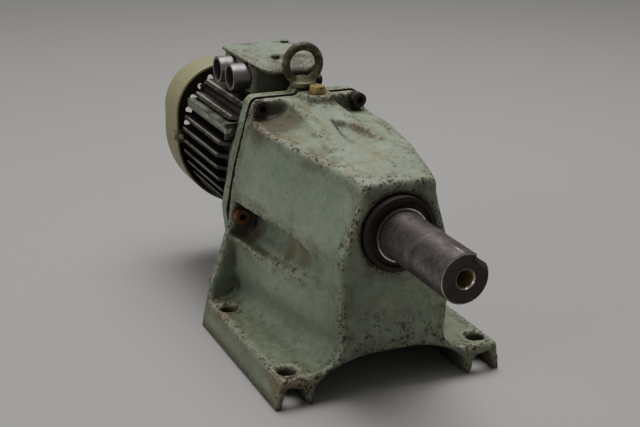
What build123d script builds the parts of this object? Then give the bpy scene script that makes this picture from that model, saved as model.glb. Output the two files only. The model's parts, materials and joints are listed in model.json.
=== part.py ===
"""Foot-mounted in-line gearmotor: two-stage gear unit with a finned, fan-cooled motor.

Frame: the output shaft points along -Y, +Z is up, X = 0 is the middle plane of the feet,
Z = 0 is the floor, and Y = 0 is half way along the whole length.  Millimetres.
"""
import os
from math import atan, cos, pi, radians, sin, sqrt, tan

from build123d import *

# ------------------------------------------------------------------ driving dimensions
SHAFT_HEIGHT = 139.0        # output and motor axis above the floor
CENTRE_DISTANCE = 48.0      # between that axis and the intermediate axis below it
LAY_HEIGHT = SHAFT_HEIGHT - CENTRE_DISTANCE

Y_SHAFT_END = -240.0
Y_FRONT_FACE = -134.5       # front face of the gear housing
Y_JOINT = 54.5              # housing face against the gasket
GASKET = 1.0
PLATE = 14.0                # cover plate thickness
Y_PLATE = Y_JOINT + GASKET
Y_MOTOR = Y_PLATE + PLATE   # rear face of the cover plate
Y_COWL_RIM = 190.5
Y_REAR = 240.0

HOLE_SPACING_X = 175.0
HOLE_SPACING_Y = 135.0
Y_FRONT_HOLES = -116.5
FOOT_HOLE_R = 8.0
FOOT_TOP = 27.0
FOOT_ROOF = 18.0            # underside of the foot plate, between its two ribs
FOOT_REAR = 49.5
FOOT_HALF = 104.0           # half width over the outer ribs at the floor

SHAFT_R = 20.0              # output shaft extension
SEAT_R = 22.5               # seal and bearing seats of the output shaft
SEAL_R = 31.0
KEYWAY_WIDTH = 12.0
KEYWAY_DEPTH = 5.0
KEYWAY_LENGTH = 80.0
KEYWAY_ANGLE = 45.0         # where the keyway stands, from +X towards +Z

MODULE_1, PINION_1, WHEEL_1 = 1.5, 13, 51
MODULE_2, PINION_2, WHEEL_2 = 2.0, 13, 35
BACKLASH = 0.30
PRESSURE_ANGLE = radians(20.0)

MOTOR_SHELL_R = 61.0
STATOR_R = 56.0
AIR_GAP = 0.5
ROTOR_R = 31.5
FIN_TIP_R = 73.0
FIN_PITCH = 11.5
FIN_OFFSET = -2.9           # height of the middle fin from the motor axis
FIN_THICKNESS = 3.4
BAR_STEP = 3                # the thick rail takes the place of this fin above the middle one
BAR_HEIGHT = 34.6           # of the rail above the motor axis
BAR_THICKNESS = 8.4

COWL_R = 78.0
COWL_TOP = 69.6             # flat top of the cowl above the motor axis
COWL_CORNER_R = 48.0
COWL_SHEET = 1.8

M8_R, M8_HEAD_R, M8_HEAD = 4.0, 6.5, 8.0
TOP_SCREW = (47.0, 201.3)
SIDE_SCREW = (66.7, 103.5)
LOW_SCREW = (55.0, 54.0)
SCREW_SEAT = 45.0           # Y of the pocket floors under the screw heads
SIDE_POCKET = (67.7, 100.5)   # axes of the scoops in front of the screws
SIDE_POCKET_R = 16.5
TOP_POCKET = (38.0, 209.3)
TOP_POCKET_R = 18.0
TOP_POCKET_RISE = radians(1.7)      # the top scoops' floors climb towards the screws

EYE_X, EYE_SEAT, EYE_HEIGHT = 1.2, 212.5, 20.4
EYE_RING_R, EYE_WIRE_R = 16.2, 3.9
EYE_SHANK_R = 5.0           # M10
Y_EYE = Y_PLATE + PLATE / 2
PLUG_X, PLUG_Y, PLUG_SEAT = 6.0, 40.0, 211.0
PLUG_BOSS_R, PLUG_R = 14.0, 5.0

OIL_PLUGS = ((-20.0, 50.0, 69.0), (-70.0, 66.0, 63.0))    # Y, Z and X of each seat

BOX_LEFT, BOX_RIGHT = -38.0, 29.0
BOX_FRONT, BOX_REAR = 88.5, 163.0
BOX_FLOOR, BOX_TOP = 202.0, 228.0
BOX_WALL = 4.0
LID_TOP = 233.0
LID_LIP = 220.0             # the lid's front lip droops to this height
GLAND_Y = (103.0, 136.5)
GLAND_Z = 216.4
GLAND_R, GLAND_BORE_R, GLAND_LENGTH = 12.4, 9.8, 16.0
WIRE_X, WIRE_Y, WIRE_R = -28.0, 152.0, 3.5      # hole for the motor leads into the box

os.makedirs("parts", exist_ok=True)


# ------------------------------------------------------------------ helpers
def across(y, x=0.0, z=0.0):
    """Plane square to the shafts at y: local x is +X, local y is +Z, extrusion runs to -Y."""
    return Plane(origin=(x, y, z), x_dir=(1, 0, 0), z_dir=(0, -1, 0))


def turned(profile, z=SHAFT_HEIGHT, x=0.0, mode=Mode.ADD):
    """Revolve a closed (y, radius) profile about the line along Y through (x, z)."""
    with BuildSketch(Plane(origin=(x, 0, z), x_dir=(0, 1, 0), z_dir=(1, 0, 0))) as half:
        with BuildLine():
            Polyline(*profile, close=True)
        make_face()
    revolve(half.sketch, axis=Axis((x, 0, z), (0, 1, 0)), mode=mode)


def ring(y_front, y_rear, r_in, r_out, z=SHAFT_HEIGHT, x=0.0, mode=Mode.ADD):
    """A plain ring between two Y values; r_in of 0 gives a disc."""
    with BuildSketch(across(y_rear, x, z)) as face:
        Circle(r_out)
        if r_in > 0:
            Circle(r_in, mode=Mode.SUBTRACT)
    extrude(face.sketch, amount=y_rear - y_front, mode=mode)


def stepped(y_start, steps, mode=Mode.ADD, z=SHAFT_HEIGHT, seam=1):
    """A stepped shaft from y_start towards +Y; steps are (y_end, radius), seam 1 is at +Z, -1 at -Z."""
    outline = [(y_start, 0.0)]
    y = y_start
    for y_end, radius in steps:
        outline += [(y, seam * radius), (y_end, seam * radius)]
        y = y_end
    outline.append((y, 0.0))
    turned(outline, z=z, mode=mode)


def slab(x0, x1, y0, y1, z0, z1, mode=Mode.ADD):
    """An axis-aligned block from its six limits."""
    with BuildSketch(Plane.XY.offset(z0)) as base:
        with Locations(((x0 + x1) / 2, (y0 + y1) / 2)):
            Rectangle(x1 - x0, y1 - y0)
    extrude(base.sketch, amount=z1 - z0, mode=mode)


def upright(x, y, z0, z1, radius, mode=Mode.ADD):
    """A vertical cylinder."""
    with BuildSketch(Plane.XY.offset(z0)) as base:
        with Locations((x, y)):
            Circle(radius)
    extrude(base.sketch, amount=z1 - z0, mode=mode)


def sideways(x0, x1, y, z, radius, mode=Mode.ADD):
    """A cylinder along X."""
    with BuildSketch(Plane(origin=(x0, y, z), x_dir=(0, 1, 0), z_dir=(1, 0, 0))) as base:
        Circle(radius)
    extrude(base.sketch, amount=x1 - x0, mode=mode)


def hexagon(x, y, z0, z1, flats, mode=Mode.ADD):
    """A vertical hexagon given by its width across flats."""
    with BuildSketch(Plane.XY.offset(z0)) as base:
        with Locations((x, y)):
            RegularPolygon(flats / 2, 6, major_radius=False)
    extrude(base.sketch, amount=z1 - z0, mode=mode)


def prism(points, y_front, y_rear, radii=None, mode=Mode.ADD):
    """Extrude a closed (x, z) outline between two Y values, with optional corner radii."""
    with BuildSketch(across(y_rear)) as face:
        with BuildLine():
            if radii:
                FilletPolyline(*points, radius=radii, close=True)
            else:
                Polyline(*points, close=True)
        make_face()
    extrude(face.sketch, amount=y_rear - y_front, mode=mode)


def both_sides(right):
    """Close a right-hand half outline, given from top to bottom, with its mirror image."""
    return right + [(-x, z) for x, z in reversed(right)]


def both_radii(right):
    """Corner radii to go with both_sides."""
    return right + list(reversed(right))


def outline_face(y, right, radii):
    """Face of a symmetric rounded outline in the plane at y."""
    with BuildSketch(across(y)) as face:
        with BuildLine():
            FilletPolyline(*both_sides(right), radius=both_radii(radii), close=True)
        make_face()
    return face.sketch


def gear_face(teeth, module, addendum, tooth_up):
    """Involute gear outline about the origin, with a tooth at the top, or else a gap."""
    pitch_r = module * teeth / 2
    base_r = pitch_r * cos(PRESSURE_ANGLE)
    root_r = pitch_r - 1.25 * module
    tip_r = pitch_r + addendum * module
    half_pitch = pi / teeth
    half_tooth = half_pitch / 2 - BACKLASH / 4 / pitch_r
    inv_pitch = tan(PRESSURE_ANGLE) - PRESSURE_ANGLE

    def half_angle(radius):
        """Half the tooth's angle at a radius; below the base circle the flank is radial."""
        if radius <= base_r:
            return half_tooth + inv_pitch
        roll = sqrt((radius / base_r) ** 2 - 1)
        return half_tooth + inv_pitch - (roll - atan(roll))

    start_r = max(base_r, root_r)
    flank = [start_r + (tip_r - start_r) * k / 3 for k in range(4)]
    if root_r < base_r:
        flank.insert(0, root_r)
    points = []
    for k in range(teeth):
        middle = pi / 2 + 2 * pi * k / teeth + (0 if tooth_up else half_pitch)
        for radius in flank:
            points.append((radius, middle - half_angle(radius)))
        for radius in reversed(flank):
            points.append((radius, middle + half_angle(radius)))
    return [(r * cos(a), r * sin(a)) for r, a in points]


def toothed(teeth, module, addendum, tooth_up, y_front, y_rear, z, down=False):
    """Extrude a gear outline between two Y values about the axis at height z; down turns it over."""
    sign = -1 if down else 1
    points = [(x, z + sign * h) for x, h in gear_face(teeth, module, addendum, tooth_up)]
    prism(points, y_front, y_rear)


def cap_screw(x, z, y_seat, length, towards_rear=True, r=M8_R, head_r=M8_HEAD_R, head=M8_HEAD):
    """Socket-head screw along Y; its head seat is at y_seat."""
    step = 1 if towards_rear else -1
    y_tip = y_seat + step * length
    y_top = y_seat - step * head
    ring(min(y_seat, y_tip), max(y_seat, y_tip), 0, r, z=z, x=x)
    ring(min(y_seat, y_top), max(y_seat, y_top), 0, head_r, z=z, x=x)
    socket_floor = y_top + step * head * 0.55
    with BuildSketch(across(max(y_top, socket_floor), x, z)) as socket:
        RegularPolygon(head_r * 0.52, 6)
    extrude(socket.sketch, amount=abs(y_top - socket_floor), mode=Mode.SUBTRACT)


def finish(piece, label):
    """Label a piece and write its STEP file."""
    piece.part.label = label
    export_step(piece.part, f"parts/{label}.step")


# ------------------------------------------------------------------ gear housing
FOOT_EDGE = [(88, FOOT_TOP), (88, 16)]
FOOT_EDGE_RADII = [1, 1]
# Y, right-hand outline from the top's edge and the crest down the side, and its corner radii
SECTIONS = (
    (Y_FRONT_FACE, [(24, 180.8), (32.5, 180), (34.5, 164), (48.5, 119), (49, 88), (48, 54),
                    (42, FOOT_TOP)], [20, 5, 20, 14, 30, 6, 20]),
    (-120.0, [(27, 185.2), (35, 184.3), (37.5, 163), (50.3, 119), (51.1, 88.5), (50.2, 54),
              (44.2, FOOT_TOP)], [20, 5, 20, 14, 30, 6, 19]),
    (-62.0, [(37, 191.3), (48.5, 188), (52, 157), (58.5, 120), (60.5, 92), (59.5, 53.5),
             (53.5, FOOT_TOP)], [20, 4, 20, 18, 25, 6, 17]),
    (0.0, [(45, 200.3), (58, 189.8), (62.5, 156), (68, 121), (69.8, 96), (68.5, 52.5),
           (62.5, FOOT_TOP)], [12, 4, 20, 25, 20, 6, 15]),
    (Y_JOINT, [(52, 208.3), (58.3, 187), (68.3, 147), (73, 122), (75.8, 100), (75, 52),
               (70, FOOT_TOP)], [9, 20, 30, 30, 16, 6, 13]),
)

CAVITY_FRONT = [(20, 172), (26, 166), (35, 134), (42, 115), (43, 88), (36, 44)]
CAVITY_REAR = [(34, 194), (49, 182), (57, 142), (60, 114), (65, 90), (62, 44)]
CAVITY_FRONT_RADII = [5, 8, 10, 10, 20, 8]
CAVITY_REAR_RADII = [6, 10, 20, 20, 12, 8]
Y_CAVITY = -120.0
WALL = 6.0

Y_OUT_FRONT = (-128.0, -112.0)      # output shaft front bearing
Y_OUT_REAR = (-66.0, -50.0)         # output shaft rear bearing
Y_LAY_FRONT = (-45.0, -33.0)        # intermediate shaft front bearing
Y_LAY_REAR = (41.0, 53.0)           # intermediate shaft rear bearing
Y_MOTOR_FRONT = (56.0, 70.0)
Y_MOTOR_REAR = (186.0, 198.0)
Y_GEAR_2 = (-28.0, 2.0)             # second-stage wheel on the output shaft
Y_GEAR_1 = (9.0, 29.0)              # first-stage wheel on the intermediate shaft
Y_CORE = (95.0, 165.0)              # stator and rotor laminations
Y_SHIELD = 188.0                    # motor frame against the rear end shield
B6009 = (22.5, 37.5)
B6203 = (8.5, 20.0)
B6204 = (10.0, 23.5)
CIRCLIP = 1.75



def top_scoop(side, extra, y_rear, mode=Mode.ADD):
    """Room in front of a top screw, round towards the middle and open outwards; extra widens it."""
    face_plane = Plane(origin=(0, y_rear, TOP_POCKET[1]), x_dir=(1, 0, 0),
                       z_dir=(0, -cos(TOP_POCKET_RISE), -sin(TOP_POCKET_RISE)))
    radius = TOP_POCKET_R + extra
    with BuildSketch(face_plane) as face:
        with Locations((side * TOP_POCKET[0], 0)):
            Circle(radius)
        with Locations((side * (TOP_POCKET[0] + 25), 0)):
            Rectangle(50, 2 * radius)
    extrude(face.sketch, amount=y_rear + 95, mode=mode)


with BuildPart() as envelope:
    loft([outline_face(y, outline + FOOT_EDGE, radii + FOOT_EDGE_RADII).faces()[0]
          for y, outline, radii in SECTIONS], ruled=True)

with BuildPart() as inner_bosses:
    ring(Y_FRONT_FACE, Y_OUT_REAR[1] + 2, 0, 45.5)
    ring(-64, Y_LAY_FRONT[1], 0, 27, z=LAY_HEIGHT)
    slab(-5, 5, Y_FRONT_FACE, Y_LAY_FRONT[1], 38, LAY_HEIGHT)
    for side in (-1, 1):
        ring(-105, Y_JOINT, 0, SIDE_POCKET_R + WALL, z=SIDE_POCKET[1], x=side * SIDE_POCKET[0])
        top_scoop(side, WALL, Y_JOINT)
        ring(30, Y_JOINT, 0, 12, z=LOW_SCREW[1], x=side * LOW_SCREW[0])
    add(envelope.part, mode=Mode.INTERSECT)

ARCH = [(-70, -1), (-69.5, 14), (-56, 26.5), (-28, 35.5), (28, 35.5), (56, 26.5), (69.5, 14),
        (70, -1)]
ARCH_RADII = [0, 8, 30, 70, 70, 30, 8, 0]
FOOT_PROFILE = [(69.5, 0), (75.5, 0), (79, FOOT_ROOF), (94.5, FOOT_ROOF), (97.5, 0),
                (FOOT_HALF, 0), (99, FOOT_TOP), (60, FOOT_TOP), (60, 18.5), (69.5, 15)]
FOOT_RADII = [0, 0, 5, 4, 0, 0, 2, 0, 0, 0]
GUSSET = [(60, 97), (74, 97), (80, 90), (90, 58), (96, 44), (98.5, FOOT_TOP),
          (FOOT_HALF, 0), (69.5, 0), (69.5, 18), (60, 22)]
GUSSET_FRONT = 40.0

with BuildPart() as casting:
    add(envelope.part)
    for side in (-1, 1):
        prism([(side * x, z) for x, z in FOOT_PROFILE], Y_FRONT_FACE, FOOT_REAR,
              radii=FOOT_RADII)
        prism([(side * x, z) for x, z in GUSSET], GUSSET_FRONT, FOOT_REAR)
    prism(ARCH, Y_FRONT_FACE - 1, Y_JOINT + 1, radii=ARCH_RADII, mode=Mode.SUBTRACT)
    loft([outline_face(Y_CAVITY, CAVITY_FRONT, CAVITY_FRONT_RADII).faces()[0],
          outline_face(Y_JOINT, CAVITY_REAR, CAVITY_REAR_RADII).faces()[0]],
         ruled=True, mode=Mode.SUBTRACT)
    add(inner_bosses.part)
    # screw pockets that run out on the sloping sides
    for side in (-1, 1):
        ring(-130, SCREW_SEAT, 0, SIDE_POCKET_R, z=SIDE_POCKET[1],
             x=side * SIDE_POCKET[0], mode=Mode.SUBTRACT)
        top_scoop(side, 0, SCREW_SEAT - 1, mode=Mode.SUBTRACT)
        ring(SCREW_SEAT - 3, SCREW_SEAT, 0, M8_HEAD_R + 1.5, z=TOP_SCREW[1],
             x=side * TOP_SCREW[0], mode=Mode.SUBTRACT)
        for x, z in (TOP_SCREW, SIDE_SCREW):
            ring(SCREW_SEAT - 1, Y_JOINT, 0, M8_R + 0.5, z=z, x=side * x, mode=Mode.SUBTRACT)
        ring(Y_JOINT - 18, Y_JOINT, 0, M8_R, z=LOW_SCREW[1], x=side * LOW_SCREW[0],
             mode=Mode.SUBTRACT)
        for row in (0, 1):
            upright(side * HOLE_SPACING_X / 2, Y_FRONT_HOLES + row * HOLE_SPACING_Y,
                    FOOT_ROOF - 5, FOOT_TOP + 5, FOOT_HOLE_R, mode=Mode.SUBTRACT)
    # round-nosed vent boss that continues the cover plate's pad
    slab(PLUG_X - PLUG_BOSS_R, PLUG_X + PLUG_BOSS_R, PLUG_Y, Y_JOINT, 195, PLUG_SEAT)
    upright(PLUG_X, PLUG_Y, 190, PLUG_SEAT, PLUG_BOSS_R)
    upright(PLUG_X, PLUG_Y, 180, PLUG_SEAT, PLUG_R, mode=Mode.SUBTRACT)
    # bores for the bearings and the shaft seal
    ring(Y_FRONT_FACE, Y_OUT_FRONT[0], 0, SEAL_R, mode=Mode.SUBTRACT)
    ring(Y_OUT_FRONT[0], Y_OUT_REAR[1] + 2.5, 0, B6009[1], mode=Mode.SUBTRACT)
    ring(Y_OUT_REAR[1], Y_OUT_REAR[1] + CIRCLIP, 0, B6009[1] + 1.5, mode=Mode.SUBTRACT)
    ring(*Y_LAY_FRONT, 0, B6203[1], z=LAY_HEIGHT, mode=Mode.SUBTRACT)
    # room for the shaft above the intermediate bearing, and relief past that shaft's end
    ring(Y_OUT_REAR[1], Y_LAY_FRONT[1], 0, SEAT_R + 3.5, mode=Mode.SUBTRACT)
    ring(Y_LAY_FRONT[0] - 3, Y_LAY_FRONT[0], 0, 9.5, z=LAY_HEIGHT, mode=Mode.SUBTRACT)
    # oil drain and level plugs sit on flat bosses on the right-hand side
    for y, z, x_seat in OIL_PLUGS:
        sideways(x_seat - 14, x_seat, y, z, 10)
        sideways(40, x_seat, y, z, 5, mode=Mode.SUBTRACT)

# the casting is one piece; its feet are a node of their own, so that the room about them stays open
FOOT_SPLIT = 76.0           # just outside the side walls
RIB_INSIDE, RIB_SPLIT = 69.0, 12.0

with BuildPart() as foot_rooms:
    for side in (-1, 1):
        for x_in, x_out, top in ((FOOT_SPLIT, FOOT_HALF + 1, 110), (RIB_INSIDE, FOOT_SPLIT, RIB_SPLIT)):
            slab(min(side * x_in, side * x_out), max(side * x_in, side * x_out),
                 Y_FRONT_FACE - 1, Y_JOINT + 1, -1, top)

with BuildPart() as gear_housing:
    add(casting.part)
    add(foot_rooms.part, mode=Mode.SUBTRACT)
finish(gear_housing, "gear_housing")

with BuildPart() as housing_feet:
    add(casting.part)
    add(foot_rooms.part, mode=Mode.INTERSECT)
finish(housing_feet, "housing_feet")


# ------------------------------------------------------------------ cover plate and gasket
PLATE_OUTLINE = [(52, 208.3), (68.4, 147), (75.8, 106), (67, 40)]
PLATE_RADII = [9, 50, 16, 8]
PAD_OUTLINE = [(-15, 203), (-9, EYE_SEAT), (20, EYE_SEAT), (25, 203)]
TIE_R, TIE_CIRCLE = 2.5, 64.0
TIE_POINTS = [(TIE_CIRCLE * cos(radians(a)), SHAFT_HEIGHT + TIE_CIRCLE * sin(radians(a)))
              for a in (45, 135, 225, 315)]

with BuildPart() as cover_gasket:
    extrude(outline_face(Y_PLATE, PLATE_OUTLINE, PLATE_RADII), amount=GASKET)
    extrude(outline_face(Y_PLATE, CAVITY_REAR, CAVITY_REAR_RADII), amount=GASKET,
            mode=Mode.SUBTRACT)
    for side in (-1, 1):
        for x, z in (TOP_SCREW, SIDE_SCREW, LOW_SCREW):
            ring(Y_JOINT, Y_PLATE, 0, M8_R + 0.5, z=z, x=side * x, mode=Mode.SUBTRACT)
finish(cover_gasket, "cover_gasket")

with BuildPart() as cover_plate:
    extrude(outline_face(Y_MOTOR, PLATE_OUTLINE, PLATE_RADII), amount=PLATE)
    prism(PAD_OUTLINE, Y_PLATE, Y_MOTOR)
    ring(40, Y_PLATE, 0, 29)
    ring(40, Y_PLATE, 0, 27, z=LAY_HEIGHT)
    ring(Y_MOTOR, Y_MOTOR + 5.5, 0, 34)
    ring(Y_MOTOR, Y_MOTOR + 4.5, 50, STATOR_R)
    ring(39, 50, 0, 17.5, mode=Mode.SUBTRACT)
    ring(50, Y_MOTOR_FRONT[0], 0, 13, mode=Mode.SUBTRACT)
    ring(Y_MOTOR_FRONT[0], Y_MOTOR + 6, 0, B6204[1], mode=Mode.SUBTRACT)
    ring(39, Y_LAY_REAR[1], 0, B6203[1], z=LAY_HEIGHT, mode=Mode.SUBTRACT)
    ring(Y_LAY_REAR[1], Y_LAY_REAR[1] + 2, 0, 9.5, z=LAY_HEIGHT, mode=Mode.SUBTRACT)
    for side in (-1, 1):
        for x, z in (TOP_SCREW, SIDE_SCREW):
            ring(Y_PLATE, Y_MOTOR - 1, 0, M8_R, z=z, x=side * x, mode=Mode.SUBTRACT)
        ring(Y_PLATE, Y_MOTOR, 0, M8_R + 0.5, z=LOW_SCREW[1], x=side * LOW_SCREW[0],
             mode=Mode.SUBTRACT)
    for x, z in TIE_POINTS:
        ring(Y_MOTOR - 10, Y_MOTOR, 0, TIE_R, z=z, x=x, mode=Mode.SUBTRACT)
    upright(EYE_X, Y_EYE, EYE_SEAT - 16, EYE_SEAT, EYE_SHANK_R, mode=Mode.SUBTRACT)
finish(cover_plate, "cover_plate")

with BuildPart() as cover_screws:
    for side in (-1, 1):
        for x, z in (TOP_SCREW, SIDE_SCREW):
            cap_screw(side * x, z, SCREW_SEAT, Y_MOTOR - 2 - SCREW_SEAT)
        cap_screw(side * LOW_SCREW[0], LOW_SCREW[1], Y_MOTOR, 30, towards_rear=False)
finish(cover_screws, "cover_screws")

with BuildPart() as eye_bolt:
    with Locations(Location((EYE_X, Y_EYE, EYE_SEAT + EYE_HEIGHT), (90, 0, 0))):
        Torus(EYE_RING_R, EYE_WIRE_R)
    upright(EYE_X, Y_EYE, EYE_SEAT, EYE_SEAT + 5, 11.5)
    with Locations((EYE_X, Y_EYE, EYE_SEAT + 6.5)):
        Cone(10, 6.5, 5)
    upright(EYE_X, Y_EYE, EYE_SEAT - 15, EYE_SEAT, EYE_SHANK_R)
finish(eye_bolt, "eye_bolt")

with BuildPart() as vent_plug:
    upright(PLUG_X, PLUG_Y, PLUG_SEAT - 12, PLUG_SEAT, PLUG_R)
    upright(PLUG_X, PLUG_Y, PLUG_SEAT, PLUG_SEAT + 1.5, 7.5)
    hexagon(PLUG_X, PLUG_Y, PLUG_SEAT + 1.5, PLUG_SEAT + 6.5, 13)
finish(vent_plug, "vent_plug")

for label, (y, z, x_seat) in zip(("oil_drain_plug", "oil_level_plug"), OIL_PLUGS):
    with BuildPart() as oil_plug:
        sideways(x_seat - 12, x_seat, y, z, 5)
        sideways(x_seat, x_seat + 1.5, y, z, 8.5)
        with BuildSketch(Plane(origin=(x_seat + 1.5, y, z), x_dir=(0, 1, 0),
                               z_dir=(1, 0, 0))) as head:
            RegularPolygon(7, 6, major_radius=False)
        extrude(head.sketch, amount=6)
    finish(oil_plug, label)


# ------------------------------------------------------------------ bearings
def bearing(label, y_span, seats, z, balls):
    """Deep-groove ball bearing as three nodes: outer ring, inner ring, and balls in a cage."""
    bore_r, outer_r = seats
    pitch_r = (bore_r + outer_r) / 2
    ball_r = 0.28 * (outer_r - bore_r)
    groove_r = ball_r + 0.3
    middle = (y_span[0] + y_span[1]) / 2
    land = 0.55 * ball_r
    for part_name, r_in, r_out in (("inner_ring", bore_r, pitch_r - land),
                                   ("outer_ring", pitch_r + land, outer_r)):
        with BuildPart() as race:
            ring(*y_span, r_in, r_out, z=z)
            with BuildSketch(Plane(origin=(0, 0, z), x_dir=(0, 1, 0),
                                   z_dir=(1, 0, 0))) as groove:
                with Locations((middle, pitch_r)):
                    Circle(groove_r)
            revolve(groove.sketch, axis=Axis((0, 0, z), (0, 1, 0)), mode=Mode.SUBTRACT)
        finish(race, f"{label}_{part_name}")
    centres = [(pitch_r * cos(2 * pi * k / balls), middle, z + pitch_r * sin(2 * pi * k / balls))
               for k in range(balls)]
    with BuildPart() as cage:
        ring(middle - ball_r - 1, middle + ball_r + 1, pitch_r - 0.8, pitch_r + 0.8, z=z)
        for k in range(balls):
            a = 2 * pi * k / balls
            pocket_plane = Plane(origin=(0, middle, z), x_dir=(0, 1, 0), z_dir=(cos(a), 0, sin(a)))
            with BuildSketch(pocket_plane) as pocket:
                Circle(ball_r + 0.05)
            extrude(pocket.sketch, amount=pitch_r + 2, mode=Mode.SUBTRACT)
        with Locations(*centres):
            Sphere(ball_r)
    finish(cage, f"{label}_ball_cage")


bearing("output_front_bearing", Y_OUT_FRONT, B6009, SHAFT_HEIGHT, 10)
bearing("output_rear_bearing", Y_OUT_REAR, B6009, SHAFT_HEIGHT, 10)
bearing("intermediate_front_bearing", Y_LAY_FRONT, B6203, LAY_HEIGHT, 8)
bearing("intermediate_rear_bearing", Y_LAY_REAR, B6203, LAY_HEIGHT, 8)
bearing("motor_front_bearing", Y_MOTOR_FRONT, B6204, SHAFT_HEIGHT, 8)
bearing("motor_rear_bearing", Y_MOTOR_REAR, B6203, SHAFT_HEIGHT, 8)

# ------------------------------------------------------------------ output shaft group
Y_SEAL = (-140.5, -129.0)
Y_SHOULDER = -142.5
CENTRE_HOLE_R = 6.9         # tapping size of an M16 thread
CENTRE_MOUTH_R = 7.9
CENTRE_DEPTH = 36.0
LIP_GAP = 0.05

with BuildPart() as output_seal:
    turned([(Y_SEAL[0], SEAL_R), (Y_SEAL[0], 27.5), (Y_SEAL[0] + 2, 26.5),
            (Y_SEAL[0] + 2, SEAT_R + LIP_GAP), (Y_SEAL[1] - 4, SEAT_R + LIP_GAP),
            (Y_SEAL[1] - 4, 25.5), (Y_SEAL[1], 25.5), (Y_SEAL[1], SEAL_R)])
finish(output_seal, "output_seal")

KEY_2_FLOOR, KEY_2_TOP = 15.0, 23.0
with BuildPart() as output_shaft:
    stepped(Y_SHAFT_END, [(Y_SHOULDER, SHAFT_R), (Y_OUT_FRONT[1], SEAT_R),
                          (Y_OUT_REAR[0], 26), (Y_GEAR_2[0], SEAT_R), (5.5, SHAFT_R)],
            seam=-1)
    end_edge = output_shaft.edges().filter_by(GeomType.CIRCLE).sort_by(Axis.Y)[0]
    chamfer(end_edge, 1.5)
    turned([(Y_SHAFT_END, 0), (Y_SHAFT_END, CENTRE_MOUTH_R),
            (Y_SHAFT_END + 1.5, CENTRE_HOLE_R), (Y_SHAFT_END + CENTRE_DEPTH, CENTRE_HOLE_R),
            (Y_SHAFT_END + CENTRE_DEPTH + 3, 0)], mode=Mode.SUBTRACT)
    a = radians(KEYWAY_ANGLE)
    floor_r = SHAFT_R - KEYWAY_DEPTH
    keyway_plane = Plane(origin=(floor_r * cos(a), 0, SHAFT_HEIGHT + floor_r * sin(a)),
                         x_dir=(0, 1, 0), z_dir=(cos(a), 0, sin(a)))
    with BuildSketch(keyway_plane) as keyway:
        with Locations((Y_SHAFT_END + KEYWAY_LENGTH / 2 - 5, 0)):
            Rectangle(KEYWAY_LENGTH - KEYWAY_WIDTH + 10, KEYWAY_WIDTH)
        with Locations((Y_SHAFT_END + KEYWAY_LENGTH - KEYWAY_WIDTH / 2 - 6, 0)):
            Circle(KEYWAY_WIDTH / 2)
    extrude(keyway.sketch, amount=8, mode=Mode.SUBTRACT)
    for y, groove_r, seat_r in ((Y_OUT_REAR[1], 21.2, 24), (Y_GEAR_2[1], 18.6, 22)):
        ring(y, y + CIRCLIP, groove_r, seat_r, mode=Mode.SUBTRACT)
    slab(-6, 6, Y_GEAR_2[0] + 2, Y_GEAR_2[1] - 2, SHAFT_HEIGHT + KEY_2_FLOOR,
         SHAFT_HEIGHT + KEY_2_TOP, mode=Mode.SUBTRACT)
finish(output_shaft, "output_shaft")

with BuildPart() as shaft_circlips:
    ring(Y_OUT_REAR[1], Y_OUT_REAR[1] + CIRCLIP, 21.2, 26)
    ring(Y_GEAR_2[1], Y_GEAR_2[1] + CIRCLIP, 18.6, 23.5)
    slab(-3, 3, Y_OUT_REAR[1] - 1, Y_GEAR_2[1] + 3, SHAFT_HEIGHT, SHAFT_HEIGHT + 30,
         mode=Mode.SUBTRACT)
finish(shaft_circlips, "shaft_circlips")

with BuildPart() as housing_circlip:
    ring(Y_OUT_REAR[1], Y_OUT_REAR[1] + CIRCLIP, 32.5, B6009[1] + 1.5)
    slab(-4, 4, Y_OUT_REAR[1] - 1, Y_OUT_REAR[1] + 3, SHAFT_HEIGHT + 25, SHAFT_HEIGHT + 42,
         mode=Mode.SUBTRACT)
finish(housing_circlip, "housing_circlip")

with BuildPart() as output_gear:
    toothed(WHEEL_2, MODULE_2, 0.8, False, *Y_GEAR_2, SHAFT_HEIGHT, down=True)
    ring(*Y_GEAR_2, 0, SHAFT_R, mode=Mode.SUBTRACT)
    slab(-6, 6, *Y_GEAR_2, SHAFT_HEIGHT, SHAFT_HEIGHT + KEY_2_TOP + 0.4, mode=Mode.SUBTRACT)
finish(output_gear, "output_gear")

with BuildPart() as output_gear_key:
    slab(-6, 6, Y_GEAR_2[0] + 2, Y_GEAR_2[1] - 2, SHAFT_HEIGHT + KEY_2_FLOOR,
         SHAFT_HEIGHT + KEY_2_TOP)
finish(output_gear_key, "output_gear_key")

# ------------------------------------------------------------------ intermediate shaft group
KEY_1_FLOOR, KEY_1_TOP = 7.0, 14.0
with BuildPart() as intermediate_shaft:
    toothed(PINION_2, MODULE_2, 1.0, True, -30, 5, LAY_HEIGHT)
    stepped(Y_LAY_FRONT[0] - 1, [(Y_LAY_FRONT[1], B6203[0]), (-30, 11), (5, 10.4),
                                 (Y_GEAR_1[0], 13), (Y_GEAR_1[1], 11),
                                 (Y_LAY_REAR[1] + 1, B6203[0])], z=LAY_HEIGHT)
    slab(-4, 4, Y_GEAR_1[0] + 1, Y_GEAR_1[1] - 1, LAY_HEIGHT + KEY_1_FLOOR,
         LAY_HEIGHT + KEY_1_TOP, mode=Mode.SUBTRACT)
finish(intermediate_shaft, "intermediate_shaft")

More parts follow.
